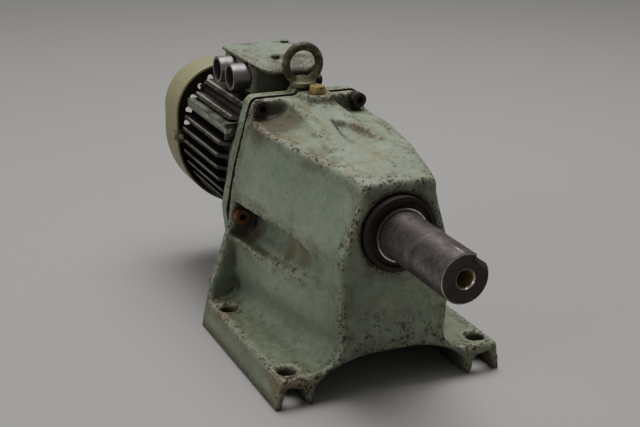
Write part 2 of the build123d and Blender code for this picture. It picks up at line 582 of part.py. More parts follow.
with BuildPart() as intermediate_gear:
    toothed(WHEEL_1, MODULE_1, 0.8, False, *Y_GEAR_1, LAY_HEIGHT)
    ring(*Y_GEAR_1, 0, 11, z=LAY_HEIGHT, mode=Mode.SUBTRACT)
    ring(Y_GEAR_1[0], Y_GEAR_1[0] + 5, 17, 32, z=LAY_HEIGHT, mode=Mode.SUBTRACT)
    ring(Y_GEAR_1[1] - 5, Y_GEAR_1[1], 17, 32, z=LAY_HEIGHT, mode=Mode.SUBTRACT)
    slab(-4, 4, *Y_GEAR_1, LAY_HEIGHT, LAY_HEIGHT + KEY_1_TOP + 0.4, mode=Mode.SUBTRACT)
finish(intermediate_gear, "intermediate_gear")

with BuildPart() as intermediate_gear_key:
    slab(-4, 4, Y_GEAR_1[0] + 1, Y_GEAR_1[1] - 1, LAY_HEIGHT + KEY_1_FLOOR,
         LAY_HEIGHT + KEY_1_TOP)
finish(intermediate_gear_key, "intermediate_gear_key")

with BuildPart() as intermediate_spacer:
    ring(Y_GEAR_1[1], Y_LAY_REAR[0], B6203[0], 11.5, z=LAY_HEIGHT)
finish(intermediate_spacer, "intermediate_spacer")

# ------------------------------------------------------------------ motor rotor group
Y_NOSE = 32.0               # front end of the rotor shaft
Y_FAN = (204.0, 224.0)
ROTOR_END = 227.0
SHANK_R = 6.0
FAN_R, FAN_HUB_R, FAN_BORE_R = 60.0, 15.0, 8.0
FAN_BLADES = 8

with BuildPart() as motor_pinion:
    toothed(PINION_1, MODULE_1, 1.0, True, Y_GEAR_1[0] - 1, Y_GEAR_1[1] + 1, SHAFT_HEIGHT,
            down=True)
    stepped(Y_GEAR_1[1] + 1, [(Y_NOSE, 9), (60, SHANK_R)])
finish(motor_pinion, "motor_pinion")

with BuildPart() as motor_seal:
    turned([(43, 17.5), (43, 12.5), (46, 12.5), (46, B6204[0] + LIP_GAP),
            (50, B6204[0] + LIP_GAP), (50, 17.5)])
finish(motor_seal, "motor_seal")

with BuildPart() as rotor_shaft:
    stepped(Y_NOSE, [(Y_MOTOR_FRONT[1], B6204[0]), (88, 13), (Y_CORE[1], 14), (186, 11),
                     (200, B6203[0]), (ROTOR_END, FAN_BORE_R)])
    ring(Y_NOSE, 61, 0, SHANK_R, mode=Mode.SUBTRACT)
finish(rotor_shaft, "rotor_shaft")

with BuildPart() as rotor_core:
    ring(*Y_CORE, 14, ROTOR_R)
finish(rotor_core, "rotor_core")

with BuildPart() as rotor_cage:
    ring(Y_CORE[0] - 8, Y_CORE[0], 20, 30)
    ring(Y_CORE[1], Y_CORE[1] + 8, 20, 30)
finish(rotor_cage, "rotor_cage")

with BuildPart() as cooling_fan:
    ring(*Y_FAN, 0, FAN_HUB_R)
    ring(Y_FAN[0] + 1, Y_FAN[0] + 3.5, 0, FAN_R)
    with BuildSketch(across(Y_FAN[1] - 2)) as blades:
        with Locations((0, SHAFT_HEIGHT)):
            with PolarLocations((FAN_R + FAN_HUB_R) / 2 - 1, FAN_BLADES):
                Rectangle(FAN_R - FAN_HUB_R + 2, 2.4)
    extrude(blades.sketch, amount=Y_FAN[1] - Y_FAN[0] - 4)
    ring(*Y_FAN, 0, FAN_BORE_R, mode=Mode.SUBTRACT)
finish(cooling_fan, "cooling_fan")

with BuildPart() as fan_circlip:
    ring(Y_FAN[1], Y_FAN[1] + 1.2, FAN_BORE_R, 11.5)
    slab(-2, 2, Y_FAN[1], Y_FAN[1] + 2, SHAFT_HEIGHT, SHAFT_HEIGHT + 13, mode=Mode.SUBTRACT)
finish(fan_circlip, "fan_circlip")

# ------------------------------------------------------------------ motor stator group
FRAME_FLANGE_R = 67.0
PEDESTAL_INSET = 3.5

with BuildPart() as motor_frame:
    for step in [k for k in range(-5, 6) if k != BAR_STEP]:
        z = SHAFT_HEIGHT + FIN_OFFSET + step * FIN_PITCH
        for side in (-1, 1):
            x0, x1 = sorted((side * 20, side * 80))
            slab(x0, x1, Y_MOTOR, Y_SHIELD, z - FIN_THICKNESS / 2, z + FIN_THICKNESS / 2)
    for step in range(-3, 4):
        x = step * FIN_PITCH
        slab(x - FIN_THICKNESS / 2, x + FIN_THICKNESS / 2, Y_MOTOR, Y_SHIELD,
             SHAFT_HEIGHT - 80, SHAFT_HEIGHT - 40)
    turned([(Y_MOTOR, 0), (Y_MOTOR, FRAME_FLANGE_R - 4), (Y_MOTOR + 9, FRAME_FLANGE_R - 3),
            (Y_MOTOR + 20, FIN_TIP_R), (Y_SHIELD, FIN_TIP_R), (Y_SHIELD, 0)],
           mode=Mode.INTERSECT)
    ring(Y_MOTOR, Y_SHIELD, 0, MOTOR_SHELL_R)
    ring(Y_MOTOR, Y_MOTOR + 6, 0, FRAME_FLANGE_R)
    bar_z = SHAFT_HEIGHT + BAR_HEIGHT
    for side in (-1, 1):
        x0, x1 = sorted((side * 40, side * 67))
        slab(x0, x1, Y_MOTOR + 6, Y_SHIELD, bar_z - BAR_THICKNESS / 2, bar_z + BAR_THICKNESS / 2)
        x0, x1 = sorted((side * 50, side * 69))
        slab(x0, x1, Y_MOTOR + 4, Y_MOTOR + 8, bar_z - 8, bar_z + 7)
    for x, z in TIE_POINTS:
        ring(Y_MOTOR, Y_SHIELD, 0, 6, z=z, x=x)
    slab(BOX_LEFT + PEDESTAL_INSET, BOX_RIGHT - PEDESTAL_INSET, BOX_FRONT + PEDESTAL_INSET,
         BOX_REAR - PEDESTAL_INSET, SHAFT_HEIGHT + 40, BOX_FLOOR)
    ring(Y_MOTOR, Y_SHIELD, 0, STATOR_R, mode=Mode.SUBTRACT)
    for x, z in TIE_POINTS:
        ring(Y_MOTOR, Y_SHIELD, 0, TIE_R + 0.3, z=z, x=x, mode=Mode.SUBTRACT)
    upright(WIRE_X, WIRE_Y, SHAFT_HEIGHT + 40, BOX_FLOOR, WIRE_R, mode=Mode.SUBTRACT)
finish(motor_frame, "motor_frame")

with BuildPart() as stator_core:
    ring(*Y_CORE, ROTOR_R + AIR_GAP, STATOR_R)
finish(stator_core, "stator_core")

with BuildPart() as stator_windings:
    ring(Y_CORE[0] - 16, Y_CORE[0], 35, 53)
    ring(Y_CORE[1], Y_CORE[1] + 16, 35, 53)
    ends = stator_windings.edges().filter_by(GeomType.CIRCLE).group_by(Axis.Y)
    fillet(ends[0] + ends[-1], 5)
finish(stator_windings, "stator_windings")

SHIELD_THICKNESS = 5.0
LUG_REACH = COWL_R - COWL_SHEET - 0.6       # lugs that carry the cowl stop just short of it
LUG_TOP = COWL_TOP - COWL_SHEET - 0.4
with BuildPart() as rear_end_shield:
    ring(Y_SHIELD, Y_SHIELD + SHIELD_THICKNESS, 0, MOTOR_SHELL_R)
    ring(Y_SHIELD - 4, Y_SHIELD, 50, STATOR_R)
    ring(Y_MOTOR_REAR[0] - 4, 202, 0, 26)
    for x, z in TIE_POINTS:
        ring(Y_SHIELD, Y_SHIELD + SHIELD_THICKNESS, 0, 7, z=z, x=x)
    slab(-LUG_REACH, LUG_REACH, Y_SHIELD, Y_SHIELD + 12, SHAFT_HEIGHT - 6, SHAFT_HEIGHT + 6)
    slab(-6, 6, Y_SHIELD, Y_SHIELD + 12, SHAFT_HEIGHT - LUG_REACH, SHAFT_HEIGHT + LUG_TOP)
    ring(Y_SHIELD + SHIELD_THICKNESS, Y_SHIELD + 12, 26, 60, mode=Mode.SUBTRACT)
    ring(Y_MOTOR_REAR[0] - 4, 199.6, 0, B6203[1], mode=Mode.SUBTRACT)
    ring(199.6, 202, 0, 9.5, mode=Mode.SUBTRACT)
    for x, z in TIE_POINTS:
        ring(Y_SHIELD, Y_SHIELD + SHIELD_THICKNESS, 0, TIE_R + 0.3, z=z, x=x,
             mode=Mode.SUBTRACT)
    sideways(-COWL_R, -62, Y_SHIELD + 7, SHAFT_HEIGHT, TIE_R, mode=Mode.SUBTRACT)
    sideways(62, COWL_R, Y_SHIELD + 7, SHAFT_HEIGHT, TIE_R, mode=Mode.SUBTRACT)
    upright(0, Y_SHIELD + 7, SHAFT_HEIGHT - COWL_R, SHAFT_HEIGHT - 62, TIE_R, mode=Mode.SUBTRACT)
    upright(0, Y_SHIELD + 7, SHAFT_HEIGHT + 54, SHAFT_HEIGHT + COWL_TOP, TIE_R,
            mode=Mode.SUBTRACT)
finish(rear_end_shield, "rear_end_shield")

with BuildPart() as bearing_spring:
    ring(Y_MOTOR_REAR[1], 199.6, 15, 19.5)
finish(bearing_spring, "bearing_spring")

with BuildPart() as tie_bolts:
    for x, z in TIE_POINTS:
        ring(Y_MOTOR - 9, Y_SHIELD + SHIELD_THICKNESS, 0, TIE_R, z=z, x=x)
        with BuildSketch(across(Y_SHIELD + SHIELD_THICKNESS + 3.5, x, z)) as head:
            RegularPolygon(4, 6, major_radius=False)
        extrude(head.sketch, amount=3.5)
finish(tie_bolts, "tie_bolts")


def cowl_face(y, inset):
    """The cowl's outline: round below, with square-shouldered top corners."""
    r = COWL_R - inset
    corner = COWL_CORNER_R - inset
    top = SHAFT_HEIGHT + COWL_TOP - inset
    shoulder_x, shoulder_z = COWL_R - COWL_CORNER_R, SHAFT_HEIGHT + COWL_TOP - COWL_CORNER_R
    c = corner * cos(pi / 4)
    with BuildSketch(across(y)) as face:
        with BuildLine():
            ThreePointArc((-r, SHAFT_HEIGHT), (0, SHAFT_HEIGHT - r), (r, SHAFT_HEIGHT))
            Line((r, SHAFT_HEIGHT), (r, shoulder_z))
            ThreePointArc((r, shoulder_z), (shoulder_x + c, shoulder_z + c), (shoulder_x, top))
            Line((shoulder_x, top), (-shoulder_x, top))
            ThreePointArc((-shoulder_x, top), (-shoulder_x - c, shoulder_z + c),
                          (-r, shoulder_z))
            Line((-r, shoulder_z), (-r, SHAFT_HEIGHT))
        make_face()
    return face.sketch


COWL_EDGE_R = 14.0
with BuildPart() as fan_cowl:
    extrude(cowl_face(Y_REAR, 0), amount=Y_REAR - Y_COWL_RIM)
    fillet(fan_cowl.faces().sort_by(Axis.Y)[-1].edges(), COWL_EDGE_R)
    offset(amount=-COWL_SHEET, openings=fan_cowl.faces().sort_by(Axis.Y)[0])
    with BuildSketch(across(Y_REAR + 1)) as grille:
        for radius, count, length in ((25, 12, 16), (47, 24, 16)):
            with Locations((0, SHAFT_HEIGHT)):
                with PolarLocations(radius, count):
                    SlotOverall(length, 5.5)
    extrude(grille.sketch, amount=6, mode=Mode.SUBTRACT)
    sideways(-90, 90, Y_SHIELD + 7, SHAFT_HEIGHT, TIE_R + 0.3, mode=Mode.SUBTRACT)
    upright(0, Y_SHIELD + 7, 50, 230, TIE_R + 0.3, mode=Mode.SUBTRACT)
finish(fan_cowl, "fan_cowl")

with BuildPart() as cowl_screws:
    for side in (-1, 1):
        x0, x1 = sorted((side * 65, side * COWL_R))
        sideways(x0, x1, Y_SHIELD + 7, SHAFT_HEIGHT, TIE_R)
        x0, x1 = sorted((side * COWL_R, side * (COWL_R + 2.5)))
        sideways(x0, x1, Y_SHIELD + 7, SHAFT_HEIGHT, 4.5)
    upright(0, Y_SHIELD + 7, SHAFT_HEIGHT - COWL_R, SHAFT_HEIGHT - 65, TIE_R)
    upright(0, Y_SHIELD + 7, SHAFT_HEIGHT - COWL_R - 2.5, SHAFT_HEIGHT - COWL_R, 4.5)
    upright(0, Y_SHIELD + 7, SHAFT_HEIGHT + 57, SHAFT_HEIGHT + COWL_TOP, TIE_R)
    upright(0, Y_SHIELD + 7, SHAFT_HEIGHT + COWL_TOP, SHAFT_HEIGHT + COWL_TOP + 2.5, 4.5)
finish(cowl_screws, "cowl_screws")

# ------------------------------------------------------------------ terminal box
LID_GASKET = 1.0
LID_SCREWS = [(-11.4, BOX_FRONT + 8), (BOX_RIGHT - 7, BOX_REAR - 7)]
EARTH_Y, EARTH_Z = 96.0, 209.0
BOX_MIDDLE = ((BOX_LEFT + BOX_RIGHT) / 2, (BOX_FRONT + BOX_REAR) / 2)
GLAND_NECK_R = 11.0

with BuildPart() as terminal_box:
    with BuildSketch(Plane.XY.offset(BOX_FLOOR)) as walls:
        with Locations(BOX_MIDDLE):
            RectangleRounded(BOX_RIGHT - BOX_LEFT, BOX_REAR - BOX_FRONT, 6)
    extrude(walls.sketch, amount=BOX_TOP - BOX_FLOOR)
    slab(BOX_LEFT + BOX_WALL, BOX_RIGHT - BOX_WALL, BOX_FRONT + BOX_WALL, BOX_REAR - BOX_WALL,
         BOX_FLOOR + BOX_WALL, BOX_TOP, mode=Mode.SUBTRACT)
    for x, y in LID_SCREWS:
        upright(x, y, BOX_FLOOR + 1, BOX_TOP, 5)
        upright(x, y, BOX_TOP - 14, BOX_TOP, 2, mode=Mode.SUBTRACT)
    for y in GLAND_Y:
        sideways(BOX_LEFT, BOX_LEFT + BOX_WALL, y, GLAND_Z, GLAND_NECK_R, mode=Mode.SUBTRACT)
    upright(WIRE_X, WIRE_Y, BOX_FLOOR, BOX_FLOOR + BOX_WALL, WIRE_R, mode=Mode.SUBTRACT)
    sideways(BOX_RIGHT - BOX_WALL, BOX_RIGHT, EARTH_Y, EARTH_Z, 2.5, mode=Mode.SUBTRACT)
finish(terminal_box, "terminal_box")

with BuildPart() as lid_gasket:
    slab(BOX_LEFT + 0.5, BOX_RIGHT - 0.5, BOX_FRONT + 0.5, BOX_REAR - 0.5, BOX_TOP,
         BOX_TOP + LID_GASKET)
    slab(BOX_LEFT + BOX_WALL, BOX_RIGHT - BOX_WALL, BOX_FRONT + BOX_WALL, BOX_REAR - BOX_WALL,
         BOX_TOP, BOX_TOP + LID_GASKET, mode=Mode.SUBTRACT)
    for x, y in LID_SCREWS:
        upright(x, y, BOX_TOP, BOX_TOP + LID_GASKET, 5)
        upright(x, y, BOX_TOP, BOX_TOP + LID_GASKET, 2.4, mode=Mode.SUBTRACT)
finish(lid_gasket, "lid_gasket")

LID_FRONT, LID_REAR = 77.0, 166.0
LID_OVERHANG = 2.0
with BuildPart() as terminal_lid:
    with BuildSketch(Plane(origin=(0, 0, 0), x_dir=(0, 1, 0), z_dir=(1, 0, 0))) as lid_side:
        with BuildLine():
            bottom = BOX_TOP + LID_GASKET
            Polyline((BOX_FRONT - 1, bottom), (LID_REAR, bottom), (LID_REAR, LID_TOP),
                     (BOX_FRONT + 10, LID_TOP))
            Spline((BOX_FRONT + 10, LID_TOP), (BOX_FRONT - 1, LID_TOP - 3),
                   (LID_FRONT, LID_LIP + 3), tangents=[(-1, 0), (-0.6, -1)])
            Line((LID_FRONT, LID_LIP + 3), (LID_FRONT, LID_LIP))
            Line((LID_FRONT, LID_LIP), (BOX_FRONT - 1, bottom))
        make_face()
    extrude(lid_side.sketch, amount=BOX_RIGHT + LID_OVERHANG)
    extrude(lid_side.sketch, amount=BOX_LEFT - LID_OVERHANG)
    with BuildSketch(Plane.XY.offset(200)) as lid_plan:
        with Locations((BOX_MIDDLE[0], (LID_FRONT + LID_REAR) / 2)):
            Rectangle(BOX_RIGHT - BOX_LEFT + 2 * LID_OVERHANG, LID_REAR - LID_FRONT)
        fillet(lid_plan.vertices().group_by(Axis.Y)[0], 22)
        fillet(lid_plan.vertices().group_by(Axis.Y)[-1], 6)
    extrude(lid_plan.sketch, amount=60, mode=Mode.INTERSECT)
    for x, y in LID_SCREWS:
        upright(x, y, BOX_TOP, LID_TOP, 2.4, mode=Mode.SUBTRACT)
finish(terminal_lid, "terminal_lid")

with BuildPart() as lid_screws:
    for x, y in LID_SCREWS:
        upright(x, y, BOX_TOP - 12, LID_TOP, 2)
        upright(x, y, LID_TOP, LID_TOP + 2.2, 3.8)
        slab(x - 3, x + 3, y - 0.5, y + 0.5, LID_TOP + 1.2, LID_TOP + 2.2, mode=Mode.SUBTRACT)
finish(lid_screws, "lid_screws")

BLOCK = (-22.0, 13.0, 105.0, 148.0)
BLOCK_FLOOR = BOX_FLOOR + BOX_WALL
STUDS = [(x, y) for x in (-14.0, 5.0) for y in (112.0, 126.5, 141.0)]
with BuildPart() as terminal_block:
    slab(*BLOCK, BLOCK_FLOOR, BLOCK_FLOOR + 7)
    for x, y in STUDS:
        upright(x, y, BLOCK_FLOOR + 7, BLOCK_FLOOR + 9, 4.5)
        upright(x, y, BLOCK_FLOOR + 1, BLOCK_FLOOR + 9, 2, mode=Mode.SUBTRACT)
finish(terminal_block, "terminal_block")

with BuildPart() as terminal_studs:
    for x, y in STUDS:
        upright(x, y, BLOCK_FLOOR + 1, BOX_TOP - 2, 2)
        hexagon(x, y, BLOCK_FLOOR + 9, BLOCK_FLOOR + 12, 7)
finish(terminal_studs, "terminal_studs")

with BuildPart() as conduit_rings:
    for y in GLAND_Y:
        sideways(BOX_LEFT - GLAND_LENGTH, BOX_LEFT, y, GLAND_Z, GLAND_R)
        sideways(BOX_LEFT, BOX_LEFT + BOX_WALL, y, GLAND_Z, GLAND_NECK_R)
        sideways(BOX_LEFT - GLAND_LENGTH, BOX_LEFT + BOX_WALL, y, GLAND_Z, GLAND_BORE_R,
                 mode=Mode.SUBTRACT)
finish(conduit_rings, "conduit_rings")

with BuildPart() as earth_screw:
    sideways(BOX_RIGHT - BOX_WALL, BOX_RIGHT, EARTH_Y, EARTH_Z, 2.5)
    sideways(BOX_RIGHT, BOX_RIGHT + 5, EARTH_Y, EARTH_Z, 5)
finish(earth_screw, "earth_screw")
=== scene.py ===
"""Looks of a foot-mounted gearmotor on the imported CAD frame.

Worn machine enamel, rust, grease and bare steel, all procedural. Lengths are in metres unless a name
ends in _mm. Colours are linear RGB.
"""
import json
import math

import bmesh
import bpy
import numpy as np
from mathutils import Matrix, Vector, noise


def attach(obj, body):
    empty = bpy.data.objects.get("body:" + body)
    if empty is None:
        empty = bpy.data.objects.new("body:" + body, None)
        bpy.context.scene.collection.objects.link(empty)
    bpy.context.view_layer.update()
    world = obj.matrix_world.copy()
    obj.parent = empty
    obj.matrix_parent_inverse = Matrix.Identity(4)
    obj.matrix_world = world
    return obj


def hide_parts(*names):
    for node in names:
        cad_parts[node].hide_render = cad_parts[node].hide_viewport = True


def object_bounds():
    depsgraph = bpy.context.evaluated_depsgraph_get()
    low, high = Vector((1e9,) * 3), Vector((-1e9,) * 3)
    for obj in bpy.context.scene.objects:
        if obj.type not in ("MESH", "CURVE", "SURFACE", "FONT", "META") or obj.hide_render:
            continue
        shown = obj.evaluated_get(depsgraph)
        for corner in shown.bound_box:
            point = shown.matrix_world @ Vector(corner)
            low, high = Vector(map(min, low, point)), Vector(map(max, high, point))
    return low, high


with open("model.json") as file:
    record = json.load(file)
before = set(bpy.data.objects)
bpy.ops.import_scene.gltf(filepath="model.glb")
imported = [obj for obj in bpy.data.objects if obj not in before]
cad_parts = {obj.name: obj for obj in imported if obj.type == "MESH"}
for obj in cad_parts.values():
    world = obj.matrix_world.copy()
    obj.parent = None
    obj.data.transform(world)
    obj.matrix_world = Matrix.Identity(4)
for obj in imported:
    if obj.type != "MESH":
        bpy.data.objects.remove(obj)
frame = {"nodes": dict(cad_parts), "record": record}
CAD_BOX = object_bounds()
NODES = frame["nodes"]
MOUNTS = {mount["name"]: mount for mount in frame["record"]["mounts"]}
MM = 0.001

# the output shaft and the motor share one line along Y: its X and its height
SHAFT_AXIS = (MOUNTS["output_shaft"]["pos_m"][0], MOUNTS["output_shaft"]["pos_m"][2])
SHAFT_RADIUS = MOUNTS["output_shaft"]["dims"]["r_mm"] * MM
SHAFT_END = CAD_BOX[0][1]


# ------------------------------------------------------------------ camera, floor and light
CAMERA_PLACE = (-0.4391, -0.9602, 0.4822)
CAMERA_AZIMUTH, CAMERA_ELEVATION, CAMERA_ROLL = (math.radians(a) for a in (-24.2, 19.39, 0.83))
CAMERA_LENS_MM = 70.8
SENSOR_WIDTH_MM = 36.0
FLOOR_HALF = 6.0
FLOOR_COLOUR = (0.42, 0.41, 0.40, 1)
FLOOR_ROUGHNESS = 0.75
SKY_COLOUR = (0.80, 0.79, 0.77, 1)
SKY_STRENGTH = 0.24


def make_camera():
    """A camera that looks down on the left front of the unit."""
    data = bpy.data.cameras.new("camera")
    data.lens = CAMERA_LENS_MM
    data.sensor_width = SENSOR_WIDTH_MM
    camera = bpy.data.objects.new("camera", data)
    bpy.context.scene.collection.objects.link(camera)
    az, el, roll = CAMERA_AZIMUTH, CAMERA_ELEVATION, CAMERA_ROLL
    back = Vector((math.sin(az) * math.cos(el), -math.cos(az) * math.cos(el), math.sin(el)))
    level = Vector((math.cos(az), math.sin(az), 0))
    lift = back.cross(level)
    right = math.cos(roll) * level + math.sin(roll) * lift
    up = back.cross(right)
    turn = Matrix((right, up, back)).transposed().to_4x4()
    camera.matrix_world = Matrix.Translation(CAMERA_PLACE) @ turn
    bpy.context.scene.camera = camera


def area_light(name, place, target, size, watts, colour):
    """A square soft box that faces a point."""
    data = bpy.data.lights.new(name, "AREA")
    data.shape = "SQUARE"
    data.size = size
    data.energy = watts
    data.color = colour
    light = bpy.data.objects.new(name, data)
    bpy.context.scene.collection.objects.link(light)
    aim = Vector(target) - Vector(place)
    light.matrix_world = Matrix.Translation(place) @ aim.to_track_quat("-Z", "Y").to_matrix().to_4x4()


def make_stage():
    """A pale floor, a dim pale surrounding, a large soft box overhead and a weak one at the left."""
    mesh = bpy.data.meshes.new("floor")
    corners = [(x * FLOOR_HALF, y * FLOOR_HALF, 0) for x, y in ((-1, -1), (1, -1), (1, 1), (-1, 1))]
    mesh.from_pydata(corners, [], [(0, 1, 2, 3)])
    floor = bpy.data.objects.new("floor", mesh)
    bpy.context.scene.collection.objects.link(floor)
    paint = bpy.data.materials.new("floor_paint")
    paint.use_nodes = True
    shader = paint.node_tree.nodes["Principled BSDF"]
    shader.inputs["Base Color"].default_value = FLOOR_COLOUR
    shader.inputs["Roughness"].default_value = FLOOR_ROUGHNESS
    mesh.materials.append(paint)

    world = bpy.data.worlds.new("studio")
    bpy.context.scene.world = world
    world.use_nodes = True
    sky = world.node_tree.nodes["Background"]
    sky.inputs["Color"].default_value = SKY_COLOUR
    sky.inputs["Strength"].default_value = SKY_STRENGTH
    area_light("overhead", place=(0.25, 0.35, 1.9), target=(0, 0, 0.1),
               size=1.3, watts=32.0, colour=(1.0, 0.985, 0.96))
    area_light("left", place=(-1.9, -0.2, 1.0), target=(0, 0, 0.12),
               size=1.0, watts=9.0, colour=(0.98, 0.985, 1.0))


make_camera()
make_stage()


# ------------------------------------------------------------------ material building blocks
def shade(colour, factor):
    """A darker or paler version of a colour."""
    return tuple(channel * factor for channel in colour)


class Paint:
    """A Principled material with short calls for the nodes that feed it."""

    def __init__(self, name):
        self.material = bpy.data.materials.new(name)
        self.material.use_nodes = True
        self.tree = self.material.node_tree
        self.shader = self.tree.nodes["Principled BSDF"]
        self.place = self.tree.nodes.new("ShaderNodeTexCoord").outputs["Object"]

    def link(self, value, socket):
        """Plug an output, a number or a colour into a socket."""
        if isinstance(value, bpy.types.NodeSocket):
            self.tree.links.new(value, socket)
        elif isinstance(value, tuple) and len(value) == 3 and socket.type == "RGBA":
            socket.default_value = (*value, 1)
        else:
            socket.default_value = value

    def scaled(self, x, y, z):
        """Object coordinates stretched along the axes."""
        node = self.tree.nodes.new("ShaderNodeMapping")
        self.link(self.place, node.inputs["Vector"])
        node.inputs["Scale"].default_value = (x, y, z)
        return node.outputs["Vector"]

    def noise(self, scale, detail, roughness, distortion, seed, place=None):
        """Cloudy noise about 0.5, finer as the scale grows."""
        node = self.tree.nodes.new("ShaderNodeTexNoise")
        node.noise_dimensions = "4D"
        self.link(place or self.place, node.inputs["Vector"])
        node.inputs["Scale"].default_value = scale
        node.inputs["Detail"].default_value = detail
        node.inputs["Roughness"].default_value = roughness
        node.inputs["Distortion"].default_value = distortion
        node.inputs["W"].default_value = seed
        return node.outputs["Fac"]

    def cells(self, scale, seed):
        """Distance to the nearest point of a random set, for spots."""
        node = self.tree.nodes.new("ShaderNodeTexVoronoi")
        node.voronoi_dimensions = "4D"
        self.link(self.place, node.inputs["Vector"])
        node.inputs["Scale"].default_value = scale
        node.inputs["W"].default_value = seed
        return node.outputs["Distance"]

    def fit(self, value, low, high, out_low=0.0, out_high=1.0):
        """Smoothly map low..high to out_low..out_high and clamp."""
        node = self.tree.nodes.new("ShaderNodeMapRange")
        node.interpolation_type = "SMOOTHSTEP"
        self.link(value, node.inputs["Value"])
        for socket, number in zip(("From Min", "From Max", "To Min", "To Max"),
                                  (low, high, out_low, out_high)):
            node.inputs[socket].default_value = number
        return node.outputs["Result"]

    def math(self, operation, a, b=0.0):
        """One sum on numbers or outputs."""
        node = self.tree.nodes.new("ShaderNodeMath")
        node.operation = operation
        self.link(a, node.inputs[0])
        self.link(b, node.inputs[1])
        return node.outputs[0]

    def add(self, a, b):
        """Both together."""
        return self.math("ADD", a, b)

    def times(self, a, b):
        """Only where both masks are."""
        return self.math("MULTIPLY", a, b)

    def either(self, a, b):
        """Where at least one of two masks is."""
        return self.math("MAXIMUM", a, b)

    def opposite(self, mask):
        """1 where the mask is 0."""
        return self.math("SUBTRACT", 1.0, mask)

    def mix(self, amount, a, b):
        """Colour a towards colour b."""
        node = self.tree.nodes.new("ShaderNodeMix")
        node.data_type = "RGBA"
        self.link(amount, node.inputs[0])
        self.link(a, node.inputs[6])
        self.link(b, node.inputs[7])
        return node.outputs[2]

    def blend(self, amount, a, b):
        """Number a towards number b."""
        node = self.tree.nodes.new("ShaderNodeMix")
        self.link(amount, node.inputs[0])
        self.link(a, node.inputs[2])
        self.link(b, node.inputs[3])
        return node.outputs[0]

    def field(self, name):
        """A number that the piece's mesh carries at each point."""
        node = self.tree.nodes.new("ShaderNodeAttribute")
        node.attribute_name = name
        return node.outputs["Fac"]

    def open_air(self, reach_mm):
        """1 on an open face, towards 0 in a corner, groove or gap."""
        node = self.tree.nodes.new("ShaderNodeAmbientOcclusion")
        node.samples = 6
        node.inputs["Distance"].default_value = reach_mm * MM
        return node.outputs["AO"]

    def ball(self, centre, radius, ragged=0.0, seed=0):
        """1 near a point, fading to 0 at the radius, with a ragged outline."""
        node = self.tree.nodes.new("ShaderNodeVectorMath")
        node.operation = "DISTANCE"
        self.link(self.place, node.inputs[0])
        node.inputs[1].default_value = centre
        far = self.math("DIVIDE", node.outputs["Value"], radius)
        if ragged:
            wobble = self.math("SUBTRACT", self.noise(90, 6, 0.65, 0.4, seed), 0.5)
            far = self.add(far, self.times(wobble, ragged))
        return self.fit(far, 1.0, 0.45)

    def off_axis(self, x, z):
        """Distance from a line along Y."""
        node = self.tree.nodes.new("ShaderNodeVectorMath")
        node.operation = "DISTANCE"
        self.link(self.scaled(1, 0, 1), node.inputs[0])
        node.inputs[1].default_value = (x, 0, z)
        return node.outputs["Value"]

    def band(self, value, low, high, blur):
        """1 between two values, fading out over a blur."""
        return self.times(self.fit(value, low - blur, low), self.fit(value, high + blur, high))

    def axis(self, letter, of="place"):
        """One coordinate of the place, or of the surface normal."""
        node = self.tree.nodes.new("ShaderNodeSeparateXYZ")
        if of == "place":
            self.link(self.place, node.inputs[0])
        else:
            self.link(self.tree.nodes.new("ShaderNodeTexCoord").outputs["Normal"], node.inputs[0])
        return node.outputs[letter]

    def bump(self, height, depth_mm, strength, under=None):
        """A relief from a height, laid over another relief if one is given."""
        node = self.tree.nodes.new("ShaderNodeBump")
        node.inputs["Strength"].default_value = strength
        node.inputs["Distance"].default_value = depth_mm * MM
        self.link(height, node.inputs["Height"])
        if under is not None:
            self.link(under, node.inputs["Normal"])
        return node.outputs["Normal"]

    def done(self, colour, roughness, normal, metallic=0.0, specular=0.5):
        """Plug the finished layers into the shader."""
        self.link(colour, self.shader.inputs["Base Color"])
        self.link(roughness, self.shader.inputs["Roughness"])
        self.link(metallic, self.shader.inputs["Metallic"])
        self.link(normal, self.shader.inputs["Normal"])
        self.shader.inputs["Specular IOR Level"].default_value = specular
        return self.material


# ------------------------------------------------------------------ castings
CREST_ROUNDS = 7            # how broadly a crest is looked for
NEAR_CREST_MM2 = 100        # how far the soiled strip beside a crest spreads
CLOUD_PITCH_MM, NICK_PITCH_MM = 22, 5.0
NICK_DEPTH_MM = 4


def ramp(values, start, end):
    """0 at the start, 1 at the end, straight between them."""
    return np.clip((values - start) / (end - start), 0, 1)


def relax(points, edges, rounds):
    """Move every point halfway to the middle of its neighbours, some rounds over."""
    points = points.copy()
    count = np.bincount(edges.ravel(), minlength=len(points))[:, None]
    for _ in range(rounds):
        total = np.zeros_like(points)
        for axis in range(points.shape[1]):
            total[:, axis] = (np.bincount(edges[:, 0], points[edges[:, 1], axis], len(points))
                              + np.bincount(edges[:, 1], points[edges[:, 0], axis], len(points)))
        points += 0.5 * (total / count - points)
    return points


def points_of(mesh):
    """The place of each vertex."""
    values = np.empty(len(mesh.vertices) * 3)
    mesh.vertices.foreach_get("co", values)
    return values.reshape(-1, 3)


def edges_of(mesh):
    """The two vertex numbers of each edge."""
    values = np.empty(len(mesh.edges) * 2, dtype=np.int64)
    mesh.edges.foreach_get("vertices", values)
    return values.reshape(-1, 2)


def normals_of(mesh):
    """The outward direction at each vertex."""
    values = np.empty(len(mesh.vertices) * 3)
    mesh.vertex_normals.foreach_get("vector", values)
    return values.reshape(-1, 3)


def place_points(mesh, points):
    """Give the vertices new places."""
    mesh.vertices.foreach_set("co", points.ravel())
    mesh.update()


def uneven(points, pitch_mm, seed):
    """Slow noise at each point, about -1 to 1."""
    shift = Vector((seed, seed * 0.37, -seed * 0.71))
    return np.array([noise.noise(Vector(point) / (pitch_mm * MM) + shift) for point in points])


def save_field(mesh, name, values):
    """Keep a number per point for the material."""
    mesh.attributes.new(name, "FLOAT", "POINT").data.foreach_set("value", values)


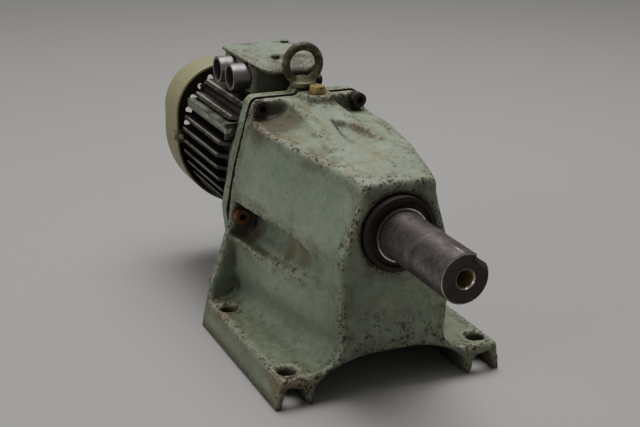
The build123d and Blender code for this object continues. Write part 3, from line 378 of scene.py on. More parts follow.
def skin_of(names, voxel_mm, inner):
    """One fine even skin around the CAD nodes, without the faces where they meet."""
    bm = bmesh.new()
    for name in names:
        bm.from_mesh(NODES[name].data)
    if inner:
        bmesh.ops.delete(bm, geom=[face for face in bm.faces if inner(face)], context="FACES_ONLY")
    bmesh.ops.remove_doubles(bm, verts=bm.verts, dist=1e-6)
    mould = bpy.data.objects.new(names[0] + "_mould", bpy.data.meshes.new(names[0] + "_mould"))
    bpy.context.scene.collection.objects.link(mould)
    bm.to_mesh(mould.data)
    bm.free()
    remesh = mould.modifiers.new("cast", "REMESH")
    remesh.mode = "VOXEL"
    remesh.voxel_size = voxel_mm * MM
    remesh.adaptivity = 0.0
    skin = bpy.data.meshes.new_from_object(mould.evaluated_get(bpy.context.evaluated_depsgraph_get()))
    bpy.data.objects.remove(mould)
    return skin


def casting(node, voxel_mm, rounds, wave_mm=0.25, nicks=0.5, sculpt=None, also=(), inner=None):
    """Stand in for CAD nodes with the same shape as cast: rounded edges, uneven faces, nicked corners."""
    mesh = skin_of((node, *also), voxel_mm, inner)
    mesh.name = node + "_casting"
    edges = edges_of(mesh)
    points = relax(points_of(mesh), edges, rounds)
    place_points(mesh, points)
    normals = normals_of(mesh)

    crest = ((points - relax(points, edges, CREST_ROUNDS)) * normals).sum(1) / MM
    save_field(mesh, "crest", crest)
    spread = int(NEAR_CREST_MM2 / voxel_mm ** 2)
    save_field(mesh, "near_crest", relax(np.clip(crest, 0, 1)[:, None], edges, spread)[:, 0])

    points += normals * (uneven(points, CLOUD_PITCH_MM, 3.0) * wave_mm * MM)[:, None]
    bite = ramp(crest, 0.15, 1.15) * np.clip(uneven(points, NICK_PITCH_MM, 9.0) + 0.05, 0, 1)
    points -= normals * (bite * nicks * NICK_DEPTH_MM * MM)[:, None]
    if sculpt:
        points = sculpt(mesh, points, normals)
    place_points(mesh, points)
    for polygon in mesh.polygons:
        polygon.use_smooth = True

    piece = bpy.data.objects.new(node + "_casting", mesh)
    bpy.context.scene.collection.objects.link(piece)
    mesh.materials.clear()
    mesh.materials.append(LOOKS[SLOT_OF[node]])
    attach(piece, BODY_OF[node])
    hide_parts(node, *also)


# the flat faces where the two CAD nodes of the housing meet: an upright one each side, and a level one
# over the inner ribs
FOOT_SPLIT = 0.076
RIB_INSIDE = 0.069
RIB_SPLIT = 0.012
NEAR = 1e-5                 # a vertex this close lies on the plane


def foot_joint(face):
    """True for the faces where the foot node meets the housing node, inside the one casting."""
    points = [vertex.co for vertex in face.verts]
    upright = all(abs(abs(p.x) - FOOT_SPLIT) < NEAR and p.z > RIB_SPLIT - NEAR for p in points)
    level = all(abs(p.z - RIB_SPLIT) < NEAR and RIB_INSIDE < abs(p.x) < FOOT_SPLIT + NEAR for p in points)
    return upright or level


def line_distance(points, route):
    """Distance in plan, in mm, from each point to a broken line, and which side it lies on."""
    best = np.full(len(points), 1e9)
    side = np.zeros(len(points))
    flat = points[:, :2] / MM
    for (x0, y0), (x1, y1) in zip(route, route[1:]):
        run = np.array((x1 - x0, y1 - y0))
        away = flat - (x0, y0)
        along = np.clip(away @ run / (run @ run), 0, 1)
        gap = np.linalg.norm(away - along[:, None] * run, axis=1)
        nearer = gap < best
        best[nearer] = gap[nearer]
        side[nearer] = np.sign(run[0] * away[nearer, 1] - run[1] * away[nearer, 0])
    return best, side


# the hollow in the sloping top: its two edges in plan, from the rear point forward
RECESS_LEFT_MM = ((0, -3), (-2.5, -20), (-5, -40), (-5, -60))
RECESS_RIGHT_MM = ((0, -3), (7, -8), (14, -16), (20, -31), (23, -50))
RECESS_DEPTH_MM = 6.0
# the troughs that lead forward from the side screws, and the lip along their lower edge
TROUGH_START_MM = 40
TROUGH_HEIGHT_MM = 101
TROUGH_RISE = 0.05
TROUGH_HALF_MM = 15
TROUGH_DEPTH_MM = 3.2
TROUGH_LIP_MM = 0.8


def top_recess(mesh, points, normals):
    """Press the shallow wedge-shaped hollow into the sloping top."""
    on_top = (normals[:, 2] > 0.7) & (points[:, 2] > 0.17) & (np.abs(points[:, 0]) < 0.04)
    left, left_side = line_distance(points, RECESS_LEFT_MM)
    right, right_side = line_distance(points, RECESS_RIGHT_MM)
    inside = (left_side > 0) & (right_side < 0) & on_top
    ahead_mm = -points[:, 1] / MM
    fade = ramp(ahead_mm, 62, 28) * ramp(ahead_mm, 2, 10)
    edge = np.minimum(left / 1.5, right / 4.0)
    depth = np.where(inside, np.clip(edge, 0, 1), 0) * fade
    save_field(mesh, "recess_lip", np.where(on_top, np.clip(1.7 - left / 2.2, 0, 1) * fade, 0))
    save_field(mesh, "recess_wall", np.where(inside, np.clip(1.3 - right / 7, 0, 1) * fade, 0))
    return points - np.array((0, 0, RECESS_DEPTH_MM * MM)) * depth[:, None]


def side_troughs(mesh, points, normals):
    """Draw out the pockets of the side screws into long shallow troughs with a worn lower lip."""
    ahead_mm = TROUGH_START_MM - points[:, 1] / MM
    height_mm = points[:, 2] / MM
    outer = ramp(np.abs(normals[:, 0]), 0.3, 0.55) * (normals[:, 0] * points[:, 0] > 0)
    outer *= (np.abs(points[:, 0]) > 0.040) & (np.abs(points[:, 0]) < 0.074)
    above = (height_mm - TROUGH_HEIGHT_MM - TROUGH_RISE * ahead_mm) / TROUGH_HALF_MM
    trough = np.clip(1 - above ** 2, 0, 1) * ramp(ahead_mm, 15, 55) * ramp(ahead_mm, 150, 80)
    lip = np.clip(1.3 - np.abs(above + 1.05) * 4, 0, 1) * ramp(ahead_mm, 0, 20) * ramp(ahead_mm, 125, 65)
    save_field(mesh, "pocket_lip", lip * outer)
    inward = -np.sign(points[:, 0]) * (trough * TROUGH_DEPTH_MM - lip * TROUGH_LIP_MM) * outer * MM
    return points + inward[:, None] * np.array((1, 0, 0))


def shape_housing(mesh, points, normals):
    """The hollow in the top, then the troughs in the sides."""
    points = top_recess(mesh, points, normals)
    return side_troughs(mesh, points, normals)


# ------------------------------------------------------------------ materials
RUST_DARK, RUST = (0.030, 0.018, 0.012), (0.12, 0.058, 0.026)
IRON = (0.030, 0.026, 0.023)
SHADE_AND_DIRT = (0.028, 0.024, 0.018)
OCHRE = (0.215, 0.175, 0.085)
PRIMER = (0.40, 0.38, 0.31)
GREEN_LIGHT, GREEN_DEEP = (0.268, 0.328, 0.230), (0.182, 0.240, 0.174)
BOX_LIGHT, BOX_DEEP = (0.255, 0.310, 0.228), (0.160, 0.216, 0.168)
MOTOR_LIGHT, MOTOR_DEEP = (0.155, 0.185, 0.140), (0.100, 0.125, 0.098)


class Enamel(Paint):
    """Old brushed enamel on cast iron, built up in layers: paint, stains, grime with painted shade in
    hollows, rubbed edges, chips.
    """

    def __init__(self, name, light, deep, seed):
        super().__init__(name)
        self.seed = seed
        self.up = self.fit(self.axis("Z", "normal"), 0.15, 0.85)
        self.grain = self.noise(420, 6, 0.72, 0.3, seed + 7)
        self.patch = self.noise(55, 9, 0.70, 0.5, seed + 9)
        self.cloud = self.noise(13, 6, 0.6, 0.4, seed)
        mottle = self.noise(125, 9, 0.76, 0.3, seed + 1)
        colour = self.mix(self.fit(self.cloud, 0.32, 0.68), light, deep)
        dull = self.times(self.fit(mottle, 0.48, 0.64), self.blend(self.up, 0.26, 0.62))
        colour = self.mix(dull, colour, shade(deep, 0.50))
        faded = self.times(self.fit(mottle, 0.47, 0.34), self.blend(self.up, 0.20, 0.50))
        colour = self.mix(faded, colour, shade(light, 1.45))
        specks = self.times(self.fit(self.grain, 0.53, 0.64), self.blend(self.up, 0.38, 0.60))
        self.colour = self.mix(specks, colour, shade(deep, 0.45))
        self.lost = None
        self.crest, self.near_crest = self.field("crest"), self.field("near_crest")

    def tint(self, mask, amount, colour):
        """Lay a colour over the paint where the mask is."""
        self.colour = self.mix(self.times(mask, amount), self.colour, colour)

    def stains(self, amount, cut):
        """Ochre bloom, stronger where water can stand."""
        bloom = self.fit(self.noise(24, 9, 0.74, 0.8, self.seed + 11), cut, cut + 0.12)
        bloom = self.times(bloom, self.blend(self.up, 0.45, 1.0))
        self.tint(self.times(bloom, self.fit(self.grain, 0.34, 0.60)), amount, OCHRE)

    def runs(self, amount):
        """Dark streaks that ran down the upright faces."""
        streak = self.noise(26, 7, 0.65, 0.2, self.seed + 12, self.scaled(1.6, 1.6, 0.22))
        streak = self.times(self.fit(streak, 0.52, 0.70), self.opposite(self.up))
        self.tint(streak, amount, (0.070, 0.066, 0.045))

    def hollow_shade_and_grime(self, amount, reach_mm):
        """Painted shade and settled dirt in hollows and corners, in patches."""
        corner_shade_and_dirt = self.fit(self.open_air(reach_mm), 0.88, 0.40)
        corner_shade_and_dirt = self.times(corner_shade_and_dirt, self.fit(self.patch, 0.24, 0.58))
        hollow = self.times(self.fit(self.crest, -0.08, -0.40), self.fit(self.patch, 0.32, 0.56))
        self.tint(self.either(corner_shade_and_dirt, hollow), amount, SHADE_AND_DIRT)

    def wear(self, amount):
        """Edges rubbed to the pale undercoat, soiled beside it and flecked with dark chips."""
        beside = self.times(self.fit(self.near_crest, 0.01, 0.06), self.fit(self.patch, 0.42, 0.58))
        self.tint(beside, 0.50, (0.120, 0.105, 0.056))
        # rubbed through, more on the edges of faces that look up
        upward = self.fit(self.axis("Z", "normal"), 0.05, 0.30)
        both = self.add(self.times(self.grain, 0.55), self.times(self.patch, 0.45))
        rubbed = self.times(self.fit(self.crest, 0.10, 0.42), self.fit(both, 0.43, 0.54))
        self.tint(self.times(rubbed, self.blend(upward, 0.35, 1.0)), amount, PRIMER)
        # flaked off along the crest itself
        flaked = self.fit(self.noise(190, 8, 0.74, 0.6, self.seed + 18), 0.525, 0.56)
        flaked = self.times(self.fit(self.crest, 0.24, 0.40), flaked)
        self.chip(self.times(flaked, self.blend(upward, 0.15, 1.0)), 0.9)
        # round flecks and ragged scabs close to it
        beside_top = self.times(self.fit(self.near_crest, 0.02, 0.07), self.times(upward, 0.8))
        near = self.either(self.fit(self.crest, 0.03, 0.25), beside_top)
        flecks = self.fit(self.cells(370, self.seed + 13), 0.42, 0.28)
        self.chip(self.times(flecks, self.times(near, self.fit(self.patch, 0.42, 0.52))), 1.0)
        scabs = self.fit(self.noise(230, 8, 0.74, 0.7, self.seed + 17), 0.555, 0.59)
        self.chip(self.times(scabs, self.times(near, self.fit(self.patch, 0.44, 0.54))), 1.0)

    def flecks(self, fineness, cut):
        """Small chips scattered over the faces in loose groups."""
        dots = self.fit(self.cells(fineness, self.seed + 19), 0.33, 0.21)
        group = self.fit(self.noise(38, 6, 0.7, 0.4, self.seed + 15), cut, cut + 0.10)
        self.chip(self.times(dots, group), 1.0)
        scabs = self.fit(self.noise(210, 8, 0.74, 0.8, self.seed + 23), 0.595, 0.63)
        group = self.fit(self.noise(30, 6, 0.7, 0.4, self.seed + 25), cut, cut + 0.10)
        self.chip(self.times(scabs, group), 1.0)

    def chip(self, mask, amount):
        """Mark where the paint is lost."""
        mask = self.times(mask, amount)
        self.lost = mask if self.lost is None else self.either(self.lost, mask)

    def finish(self, roughness=(0.40, 0.60), depth_mm=0.38):
        """Lay the bare iron into the chips and give the whole its brushed, pitted relief."""
        bare = self.mix(self.fit(self.grain, 0.50, 0.70), IRON, (0.085, 0.048, 0.025))
        self.colour = self.mix(self.lost, self.colour, bare)
        brushed = self.noise(70, 4, 0.55, 0, self.seed + 29, self.scaled(1.0, 5.0, 1.6))
        pits = self.noise(330, 5, 0.68, 0, self.seed + 31)
        relief = self.bump(self.add(self.times(brushed, 0.45), self.times(pits, 0.55)), depth_mm, 0.7)
        relief = self.bump(self.opposite(self.lost), 0.35, 0.8, relief)
        rough = self.blend(self.lost, self.fit(self.grain, 0.3, 0.7, *roughness), 0.82)
        return self.done(self.colour, rough, relief, specular=0.40)


# places that hold dirt or rust, each as a centre and a radius
FRONT_FOOT_SPILL = ((-0.093, -0.127, 0.027), 0.024)
REAR_FOOT_SPILL = ((-0.094, 0.012, 0.027), 0.016)
TROUGH_BED_REAR = ((-0.060, -0.038, 0.100), 0.019)
TROUGH_BED_FRONT = ((-0.055, -0.066, 0.104), 0.018)
TOP_SCREW_DIRT = ((-0.046, 0.020, 0.196), 0.036)
SIDE_SCREW_DIRT = ((-0.066, 0.030, 0.098), 0.024)
VENT_PLUG_DIRT = ((0.006, 0.034, 0.208), 0.025)
TOP_CORNER_CHIPS = ((-0.052, 0.044, 0.192), 0.017)
# the lid behind the eye ring: partly rust, partly painted shade
LID_RUST_AND_SHADE = ((0.004, 0.084, 0.229), 0.034)
ORANGE_SCREW = ((-0.067, 0.040, 0.1035), 0.030)
SHAFT_SCRATCHES = ((0.018, -0.232, 0.152), 0.030)

FOOT_HOLE_RUST_BELOW = 0.0085       # the rust's centre lies this far under the spot face
FOOT_HOLE_RUST_RADIUS = 0.0125
SEAL_RIM_BAND = (0.0300, 0.0325)
FIN_PITCH, FIN_MIDDLE = 0.0115, 0.1361
FINS_START = 0.0725                 # the Y where the fins begin
FIN_TIP = 0.0728                    # from the motor's axis
RAIL_BOTTOM, RAIL_TOP = 0.1690, 0.1784
CENTRE_HOLE = 0.0079                # radius at its mouth
SEAL_SHOULDER = -0.1412             # the Y of the shaft's bright step at the seal


def foot_holes():
    """The middle of each foot hole's spot face."""
    x, y, z = MOUNTS["foot_bolts"]["pos_m"]
    half_x = MOUNTS["foot_bolts"]["dims"]["spacing_x_mm"] / 2 * MM
    half_y = MOUNTS["foot_bolts"]["dims"]["spacing_y_mm"] / 2 * MM
    return [(x + side * half_x, y + end * half_y, z) for side in (-1, 1) for end in (-1, 1)]


def housing_faces(p):
    """Paint light onto the top and a patchy film of grime and shade onto the front, stain them, add the
    streaks, and give back the masks of top and front.
    """
    top = p.times(p.up, p.fit(p.axis("Z"), 0.150, 0.185))
    # painted light: the top made paler, more or less by a cloud noise
    p.tint(top, p.fit(p.cloud, 0.62, 0.40, 0.30, 0.70), (0.340, 0.420, 0.295))
    front = p.times(p.fit(p.axis("Y", "normal"), -0.45, -0.85), p.fit(p.axis("Y"), -0.100, -0.125))
    # the faces looking forward darkened with a patchy brown film: partly grime, partly painted shade
    front_grime_and_shade = p.fit(p.noise(48, 9, 0.72, 0.6, 60), 0.40, 0.64)
    p.tint(p.times(front, front_grime_and_shade), 0.34, (0.110, 0.096, 0.058))
    p.stains(0.72, 0.54)
    bloom = p.fit(p.noise(42, 9, 0.74, 0.8, 61), 0.46, 0.60)
    p.tint(p.times(top, bloom), 0.62, (0.22, 0.195, 0.100))
    smut = p.fit(p.noise(95, 9, 0.76, 0.8, 65), 0.50, 0.62)
    smut = p.times(smut, p.fit(p.noise(21, 5, 0.6, 0.4, 66), 0.46, 0.58))
    p.tint(p.times(top, smut), 0.60, (0.075, 0.062, 0.036))
    p.runs(0.35)
    return top, front


def housing_feet(p):
    """Oil and rust on the feet."""
    low = p.fit(p.axis("Z"), 0.032, 0.024)
    p.tint(p.times(low, p.fit(p.patch, 0.66, 0.38)), 0.60, (0.165, 0.175, 0.100))
    p.tint(p.times(low, p.fit(p.noise(26, 8, 0.7, 0.6, 67), 0.52, 0.64)), 0.6, (0.150, 0.112, 0.055))
    spill = p.either(p.ball(*FRONT_FOOT_SPILL, 0.9, 62), p.ball(*REAR_FOOT_SPILL, 0.9, 63))
    p.tint(spill, 0.72, (0.155, 0.095, 0.040))


def housing_hollows(p, top):
    """The troughs, the rear edge of the top, the shaded sides, the foot holes and the bottom edge."""
    bed = p.either(p.ball(*TROUGH_BED_REAR, 0.7, 68), p.ball(*TROUGH_BED_FRONT, 0.7, 74))
    p.tint(p.times(bed, p.fit(p.grain, 0.66, 0.48)), 0.88, (0.160, 0.118, 0.050))
    worn = p.times(p.field("pocket_lip"), p.fit(p.noise(150, 8, 0.74, 0.5, 75), 0.42, 0.56))
    p.tint(worn, 0.70, (0.42, 0.44, 0.36))
    flank = p.times(top, p.times(p.fit(p.axis("X"), -0.028, -0.040), p.fit(p.patch, 0.36, 0.58)))
    p.tint(flank, 0.50, (0.150, 0.138, 0.080))
    # painted shade: broad corners, such as the fillet between wall and foot, darkened towards deep green
    p.tint(p.fit(p.open_air(70), 0.86, 0.46), 0.55, (0.070, 0.082, 0.055))
    for x, y, z in foot_holes():
        rust = p.ball((x, y, z - FOOT_HOLE_RUST_BELOW), FOOT_HOLE_RUST_RADIUS)
        p.tint(rust, 0.9, (0.085, 0.045, 0.024))
    hem = p.times(p.fit(p.axis("Z"), 0.0090, 0.002), p.fit(p.patch, 0.34, 0.56))
    p.tint(hem, 0.85, (0.055, 0.036, 0.021))
    p.hollow_shade_and_grime(0.9, 14)


def housing_fittings(p):
    """Dirt about the screws, the vent plug and the shaft seal, painted shade along the edge of the hollow
    in the top, and brown patches on its wall.
    """
    by_screw = p.either(p.ball(*TOP_SCREW_DIRT, 0.8, 69), p.ball(*SIDE_SCREW_DIRT, 0.8, 70))
    p.tint(by_screw, 0.80, (0.062, 0.045, 0.028))
    by_plug = p.ball(*VENT_PLUG_DIRT, 0.9, 71)
    p.tint(p.times(by_plug, p.fit(p.noise(140, 8, 0.74, 0.8, 72), 0.44, 0.54)), 0.85, (0.050, 0.042, 0.028))
    p.chip(p.times(by_plug, p.fit(p.noise(170, 8, 0.74, 0.8, 73), 0.565, 0.60)), 0.9)
    rim = p.band(p.off_axis(*SHAFT_AXIS), *SEAL_RIM_BAND, 0.0035)
    rim = p.times(rim, p.fit(p.axis("Y"), -0.125, -0.130))
    p.tint(p.times(rim, p.fit(p.patch, 0.36, 0.60)), 0.75, (0.085, 0.045, 0.026))
    # painted shade: a dark line along the left edge of the hollow in the top
    p.tint(p.field("recess_lip"), 0.95, SHADE_AND_DIRT)
    wall = p.times(p.field("recess_wall"), p.fit(p.patch, 0.34, 0.58))
    p.tint(wall, 0.90, (0.085, 0.052, 0.032))


def housing_chips(p, top, front):
    """Edges rubbed and chipped, and chips on the top's corner, the top and the low front."""
    p.wear(0.55)
    p.flecks(400, 0.575)
    corner = p.ball(*TOP_CORNER_CHIPS, 0.9, 78)
    p.chip(p.times(corner, p.fit(p.noise(200, 8, 0.74, 0.9, 79), 0.50, 0.54)), 0.9)
    scabs = p.fit(p.noise(240, 8, 0.76, 0.9, 76), 0.575, 0.60)
    scabs = p.times(scabs, p.fit(p.noise(34, 7, 0.72, 0.6, 77), 0.48, 0.58))
    p.chip(p.times(top, scabs), 0.9)
    low_front = p.times(front, p.fit(p.axis("Z"), 0.090, 0.045))
    low_front = p.times(low_front, p.fit(p.patch, 0.42, 0.54))
    p.chip(p.times(p.fit(p.noise(150, 8, 0.74, 0.8, 64), 0.53, 0.57), low_front), 0.9)


def housing_enamel():
    """Gear housing and cover plate."""
    p = Enamel("housing_enamel_looks", GREEN_LIGHT, GREEN_DEEP, 0)
    top, front = housing_faces(p)
    housing_feet(p)
    housing_hollows(p, top)
    housing_fittings(p)
    housing_chips(p, top, front)
    return p.finish()


def box_enamel():
    """Terminal box and lid: the same green, more beaten, with painted shade on the front and underneath and
    painted light on the top.
    """
    p = Enamel("box_enamel_looks", BOX_LIGHT, BOX_DEEP, 40)
    # painted shade: the faces looking forward darkened
    front = p.fit(p.axis("Y", "normal"), -0.35, -0.85)
    p.tint(front, 0.60, (0.066, 0.088, 0.060))
    # painted light: the faces looking up made paler
    p.tint(p.up, 0.40, (0.31, 0.365, 0.27))
    p.stains(0.85, 0.50)
    scabs = p.fit(p.noise(95, 9, 0.76, 0.8, 41), 0.52, 0.60)
    scabs = p.times(scabs, p.fit(p.noise(24, 6, 0.65, 0.4, 42), 0.48, 0.58))
    p.tint(scabs, 0.88, (0.082, 0.050, 0.028))
    p.runs(0.5)
    p.hollow_shade_and_grime(0.95, 9)
    # a dark brown patch on the lid behind the eye ring: partly rust, partly painted shade
    lid_rust_and_shade = p.times(p.ball(*LID_RUST_AND_SHADE, 0.7, 43), p.fit(p.noise(80, 9, 0.76, 0.8, 44), 0.34, 0.50))
    p.tint(lid_rust_and_shade, 0.92, (0.060, 0.044, 0.028))
    # painted shade: the faces looking down darkened, in patches
    lip = p.fit(p.axis("Z", "normal"), 0.10, -0.35)
    p.tint(p.times(lip, p.fit(p.patch, 0.30, 0.55)), 0.8, (0.040, 0.032, 0.022))
    p.wear(0.9)
    p.flecks(330, 0.47)
    return p.finish()


def motor_enamel():
    """Finned frame: enamel lost under baked-on grease, painted shade near black between the fins, dust and
    a painted highlight on their tips.
    """
    p = Enamel("motor_enamel_looks", MOTOR_LIGHT, MOTOR_DEEP, 30)
    out = p.off_axis(*SHAFT_AXIS)
    fins = p.fit(p.axis("Y"), FINS_START, FINS_START + 0.001)
    # 0 to 1 from the middle of one gap to the next, so that a little over 0.5 is a fin's upper edge
    step = p.math("DIVIDE", p.math("SUBTRACT", p.axis("Z"), FIN_MIDDLE), FIN_PITCH)
    upper = p.fit(p.math("FRACT", p.add(step, 0.5)), 0.555, 0.595)
    grease = p.mix(p.fit(p.patch, 0.35, 0.65), (0.014, 0.010, 0.008), (0.040, 0.028, 0.020))
    p.tint(p.times(fins, p.fit(p.patch, 0.74, 0.56)), 0.97, grease)
    # painted shade: near black in the gaps between the fins
    p.tint(p.times(fins, p.fit(p.open_air(11), 0.85, 0.50)), 1.0, (0.005, 0.004, 0.003))
    dusty = p.fit(out, FIN_TIP - 0.0028, FIN_TIP - 0.0002)
    dusty = p.times(dusty, p.fit(p.noise(75, 8, 0.74, 0.5, 34), 0.44, 0.58))
    p.tint(p.times(fins, dusty), 0.45, (0.110, 0.108, 0.086))
    # painted highlight: a pale line along the upper edge of each fin's tip, as light from above would catch
    # it
    bright = p.fit(out, FIN_TIP - 0.0006, FIN_TIP)
    bright = p.times(bright, p.fit(p.noise(60, 8, 0.74, 0.5, 35), 0.36, 0.50))
    p.tint(p.times(fins, p.times(upper, bright)), 0.85, (0.380, 0.380, 0.320))
    rail = p.times(p.band(p.axis("Z"), RAIL_BOTTOM, RAIL_TOP, 0.0006), p.fit(out, 0.060, 0.066))
    p.tint(p.times(rail, p.fit(p.patch, 0.60, 0.44)), 0.80, (0.150, 0.185, 0.135))
    p.chip(p.fit(p.noise(120, 7, 0.7, 0.6, 36), 0.58, 0.63), 0.8)
    return p.finish(roughness=(0.50, 0.75), depth_mm=0.35)


def cowl_enamel():
    """Sheet-steel cowl in faded olive yellow, paler above and browner below as painted light and shade,
    with painted shade in its corners.
    """
    p = Paint("cowl_enamel_looks")
    cloud = p.noise(15, 7, 0.65, 0.5, 1)
    fine = p.noise(210, 6, 0.68, 0.2, 2)
    # painted light and shade: paler towards the top, darker and browner towards the bottom
    height = p.fit(p.axis("Z"), 0.075, 0.200)
    colour = p.mix(height, (0.165, 0.150, 0.075), (0.330, 0.330, 0.185))
    colour = p.mix(p.times(p.fit(cloud, 0.40, 0.68), 0.45), colour, (0.235, 0.215, 0.105))
    colour = p.mix(p.times(p.fit(fine, 0.45, 0.75), 0.35), colour, (0.135, 0.120, 0.070))
    smear = p.fit(p.noise(45, 8, 0.7, 0.8, 3), 0.56, 0.68)
    colour = p.mix(p.times(smear, 0.45), colour, (0.095, 0.078, 0.045))
    # painted shade: corners and gaps darkened
    colour = p.mix(p.times(p.fit(p.open_air(10), 0.80, 0.40), 0.8), colour, SHADE_AND_DIRT)
    spots = p.times(p.fit(p.cells(230, 4), 0.30, 0.18), p.fit(p.noise(30, 4, 0.6, 0, 5), 0.52, 0.64))
    colour = p.mix(spots, colour, (0.060, 0.045, 0.030))
    normal = p.bump(p.add(p.times(cloud, 3.0), p.times(fine, 0.25)), 0.5, 0.35)
    return p.done(colour, p.fit(fine, 0.3, 0.7, 0.42, 0.6), normal)


def rusty_steel(name, base, amount, seed, overspray=None, painted_below=None, orange=None):
    """Dark steel under patchy brown rust, with old paint and one orange spot where they are asked for, and
    painted shade near black in its gaps.
    """
    p = Paint(name)
    patch = p.noise(110, 7, 0.68, 0.5, seed)
    grain = p.noise(600, 5, 0.65, 0.2, seed + 2)
    colour = p.mix(p.fit(grain, 0.3, 0.7), base, shade(base, 0.5))
    rusted = p.fit(patch, 0.66 - 0.32 * amount, 0.76 - 0.28 * amount)
    brown = p.mix(p.fit(grain, 0.40, 0.66), RUST_DARK, RUST)
    colour = p.mix(p.times(rusted, 0.85), colour, brown)
    if orange:
        fresh = p.times(p.ball(*orange), p.fit(patch, 0.30, 0.55))
        colour = p.mix(fresh, colour, (0.185, 0.085, 0.032))
    if overspray:
        left = p.fit(p.noise(130, 7, 0.68, 0.4, seed + 4), 0.50, 0.60)
        if painted_below:
            left = p.either(left, p.fit(p.axis("Z"), painted_below, painted_below - 0.0015))
        colour = p.mix(p.times(left, 0.75), colour, overspray)
    # painted shade: near black in gaps and corners
    corner_shade_and_dirt = p.fit(p.open_air(7), 0.80, 0.35)
    colour = p.mix(p.times(corner_shade_and_dirt, 0.9), colour, (0.010, 0.008, 0.007))
    normal = p.bump(p.add(grain, p.times(patch, 0.5)), 0.22, 0.7)
    return p.done(colour, p.blend(rusted, 0.45, 0.85), normal, metallic=p.blend(rusted, 0.5, 0.0))


def shaft_steel():
    """Shaft steel with a purplish brown patina, faint turning marks, scratches, rubbed bright edges and
    painted shade on its underside.
    """
    p = Paint("shaft_steel_looks")
    out = p.off_axis(*SHAFT_AXIS)
    along = p.axis("Y")
    rings = p.noise(1400, 3, 0.5, 0, 1, p.scaled(0.01, 1.0, 0.01))
    cloud = p.noise(34, 9, 0.74, 0.6, 2)
    fine = p.noise(480, 6, 0.74, 0.2, 6)
    colour = p.mix(p.fit(cloud, 0.38, 0.62), (0.235, 0.212, 0.212), (0.098, 0.078, 0.076))
    stained = p.fit(p.noise(60, 9, 0.76, 0.8, 7), 0.50, 0.64)
    colour = p.mix(p.times(stained, 0.65), colour, (0.052, 0.036, 0.030))
    colour = p.mix(p.times(p.fit(fine, 0.47, 0.66), 0.55), colour, (0.048, 0.035, 0.031))
    colour = p.mix(p.times(p.fit(rings, 0.45, 0.75), 0.22), colour, (0.260, 0.245, 0.240))
    specks = p.times(p.fit(p.cells(520, 3), 0.30, 0.16), p.fit(p.noise(60, 5, 0.65, 0.3, 4), 0.46, 0.62))
    colour = p.mix(p.times(specks, 0.8), colour, (0.030, 0.020, 0.015))
    scratch = p.fit(p.noise(260, 3, 0.5, 0.3, 8, p.scaled(1.0, 0.10, 1.0)), 0.64, 0.70)
    scratch = p.times(scratch, p.fit(p.ball(*SHAFT_SCRATCHES), 0.1, 0.6))
    colour = p.mix(p.times(scratch, 0.9), colour, (0.62, 0.58, 0.54))
    # painted shade: the underside of the shaft darkened
    underside_shade = p.fit(p.axis("Z"), 0.132, 0.120)
    colour = p.mix(p.times(underside_shade, 0.60), colour, (0.045, 0.040, 0.032))

    # dark brown end face and golden centre hole
    end = p.times(p.fit(along, SHAFT_END + 0.0012, SHAFT_END + 0.0003),
                  p.fit(out, CENTRE_HOLE - 0.0004, CENTRE_HOLE + 0.0003))
    brown = p.mix(p.fit(cloud, 0.4, 0.6), (0.050, 0.036, 0.027), (0.026, 0.019, 0.015))
    colour = p.mix(p.times(end, 0.95), colour, brown)
    hole = p.times(p.fit(out, CENTRE_HOLE + 0.0003, CENTRE_HOLE), p.fit(along, -0.200, -0.210))
    golden = p.mix(p.fit(fine, 0.42, 0.6), (0.50, 0.38, 0.18), (0.22, 0.155, 0.07))
    colour = p.mix(p.times(hole, 0.9), colour, golden)

    # bright rim, mouth of the hole and shoulder at the seal
    rim = p.times(p.fit(out, SHAFT_RADIUS - 0.0011, SHAFT_RADIUS - 0.0007),
                  p.fit(along, SHAFT_END + 0.0012, SHAFT_END + 0.0007))
    mouth = p.times(p.band(out, CENTRE_HOLE - 0.0008, CENTRE_HOLE, 0.0002),
                    p.fit(along, SHAFT_END + 0.0015, SHAFT_END + 0.0008))
    shoulder = p.times(p.fit(out, SHAFT_RADIUS + 0.0012, SHAFT_RADIUS + 0.0017),
                       p.fit(along, SEAL_SHOULDER, SEAL_SHOULDER - 0.0006))
    bright = p.either(p.either(rim, mouth), shoulder)
    bright = p.times(bright, p.fit(p.noise(110, 6, 0.7, 0.4, 9), 0.34, 0.50))
    colour = p.mix(p.times(bright, 0.9), colour, (0.70, 0.66, 0.62))

    normal = p.bump(p.add(p.times(rings, 0.5), p.times(fine, 0.5)), 0.06, 0.5)
    rough = p.fit(p.add(p.times(cloud, 0.6), p.times(fine, 0.4)), 0.35, 0.65, 0.34, 0.52)
    rough = p.blend(bright, p.blend(end, rough, 0.60), 0.22)
    metal = p.blend(bright, p.blend(p.either(end, hole), 0.85, 0.25), 1.0)
    return p.done(colour, rough, normal, metal)


def plain_steel(name, base, rough, seed, metallic=0.9, shade_and_dirt_amount=0.0):
    """Machined or plated steel with slight clouding and fine scratches, and where asked, dirt and painted
    shade in its corners.
    """
    p = Paint(name)
    cloud = p.noise(90, 7, 0.66, 0.3, seed)
    fine = p.noise(700, 4, 0.6, 0, seed + 1)
    colour = p.mix(p.fit(cloud, 0.3, 0.7), base, shade(base, 0.6))
    colour = p.mix(p.times(p.fit(fine, 0.55, 0.8), 0.4), colour, shade(base, 0.3))
    if shade_and_dirt_amount:
        # dirt in clouds and painted shade in corners
        corner_shade_and_dirt = p.either(p.fit(p.open_air(6), 0.85, 0.40), p.fit(cloud, 0.56, 0.66))
        colour = p.mix(p.times(corner_shade_and_dirt, shade_and_dirt_amount), colour, (0.050, 0.036, 0.022))
    normal = p.bump(p.add(fine, cloud), 0.06, 0.5)
    return p.done(colour, p.fit(cloud, 0.3, 0.7, rough, rough + 0.16), normal, metallic=metallic)


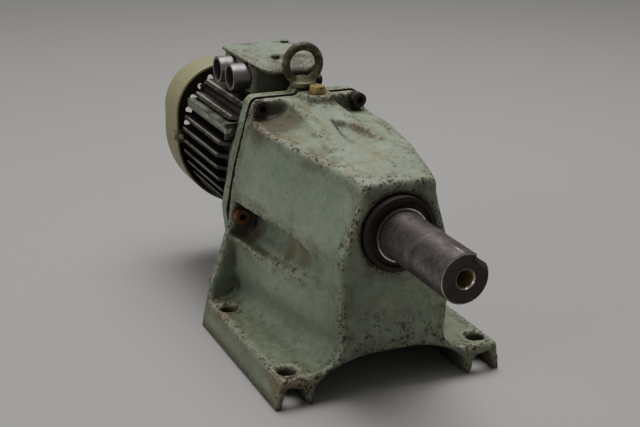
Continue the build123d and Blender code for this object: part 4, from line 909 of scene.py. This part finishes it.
def matt(name, base, rough, seed, dust_colour=(0.16, 0.145, 0.125)):
    """Rubber, fibre or moulded plastic with dust and a fine grain."""
    p = Paint(name)
    fine = p.noise(380, 5, 0.6, 0, seed)
    dust = p.noise(60, 7, 0.66, 0.4, seed + 1)
    colour = p.mix(p.times(p.fit(dust, 0.45, 0.72), 0.30), base, dust_colour)
    colour = p.mix(p.times(p.fit(fine, 0.4, 0.7), 0.25), colour, shade(base, 0.4))
    return p.done(colour, p.fit(dust, 0.3, 0.7, rough - 0.12, rough + 0.08), p.bump(fine, 0.15, 0.5))


LOOKS = {
    "housing_enamel": housing_enamel(),
    "motor_enamel": motor_enamel(),
    "cowl_enamel": cowl_enamel(),
    "box_enamel": box_enamel(),
    "gasket": matt("gasket_looks", (0.022, 0.017, 0.012), 0.75, 0, (0.05, 0.04, 0.03)),
    "screw_steel": rusty_steel("screw_steel_looks", (0.050, 0.040, 0.040), 0.55, 50, orange=ORANGE_SCREW),
    "plug_steel": plain_steel("plug_steel_looks", (0.27, 0.26, 0.25), 0.38, 52),
    "eye_steel": rusty_steel("eye_steel_looks", (0.105, 0.090, 0.070), 0.62, 54,
                             overspray=(0.205, 0.200, 0.110), painted_below=0.2215),
    "brass": plain_steel("brass_looks", (0.56, 0.45, 0.19), 0.34, 56, 0.75, 0.8),
    "seal_rubber": matt("seal_rubber_looks", (0.022, 0.015, 0.013), 0.7, 58, (0.050, 0.030, 0.023)),
    "shaft_steel": shaft_steel(),
    "gear_steel": plain_steel("gear_steel_looks", (0.36, 0.35, 0.34), 0.28, 60),
    "spring_steel": plain_steel("spring_steel_looks", (0.12, 0.11, 0.11), 0.4, 62),
    "lamination_steel": plain_steel("lamination_looks", (0.22, 0.22, 0.23), 0.45, 64),
    "rotor_aluminium": plain_steel("rotor_aluminium_looks", (0.60, 0.60, 0.61), 0.38, 66),
    "winding_copper": plain_steel("winding_looks", (0.45, 0.19, 0.08), 0.35, 68, 0.7),
    "fan_plastic": matt("fan_plastic_looks", (0.035, 0.034, 0.033), 0.6, 70),
    "block_plastic": matt("block_plastic_looks", (0.070, 0.040, 0.022), 0.5, 72),
    "conduit_steel": plain_steel("conduit_steel_looks", (0.32, 0.285, 0.290), 0.34, 74, 0.9, 0.6),
    "bearing_steel": plain_steel("bearing_steel_looks", (0.56, 0.56, 0.57), 0.2, 76),
}
SLOT_OF = {row["node"]: row["material_slot"] for row in frame["record"]["subparts"]}
BODY_OF = {node: body for body, members in frame["record"]["behaviour"]["bodies"].items()
           for node in members}
PAINTED_OVER = {"lid_screws": "box_enamel", "cowl_screws": "cowl_enamel"}

for name, piece in NODES.items():
    piece.data.materials.clear()
    piece.data.materials.append(LOOKS[PAINTED_OVER.get(name, SLOT_OF[name])])

casting("gear_housing", 1.95, 5, sculpt=shape_housing, also=("housing_feet",), inner=foot_joint)
casting("cover_plate", 1.3, 3)
casting("terminal_box", 1.0, 2, wave_mm=0.15, nicks=0.3)
casting("terminal_lid", 0.9, 3, wave_mm=0.35)
casting("eye_bolt", 0.6, 3, wave_mm=0.15, nicks=0.3)
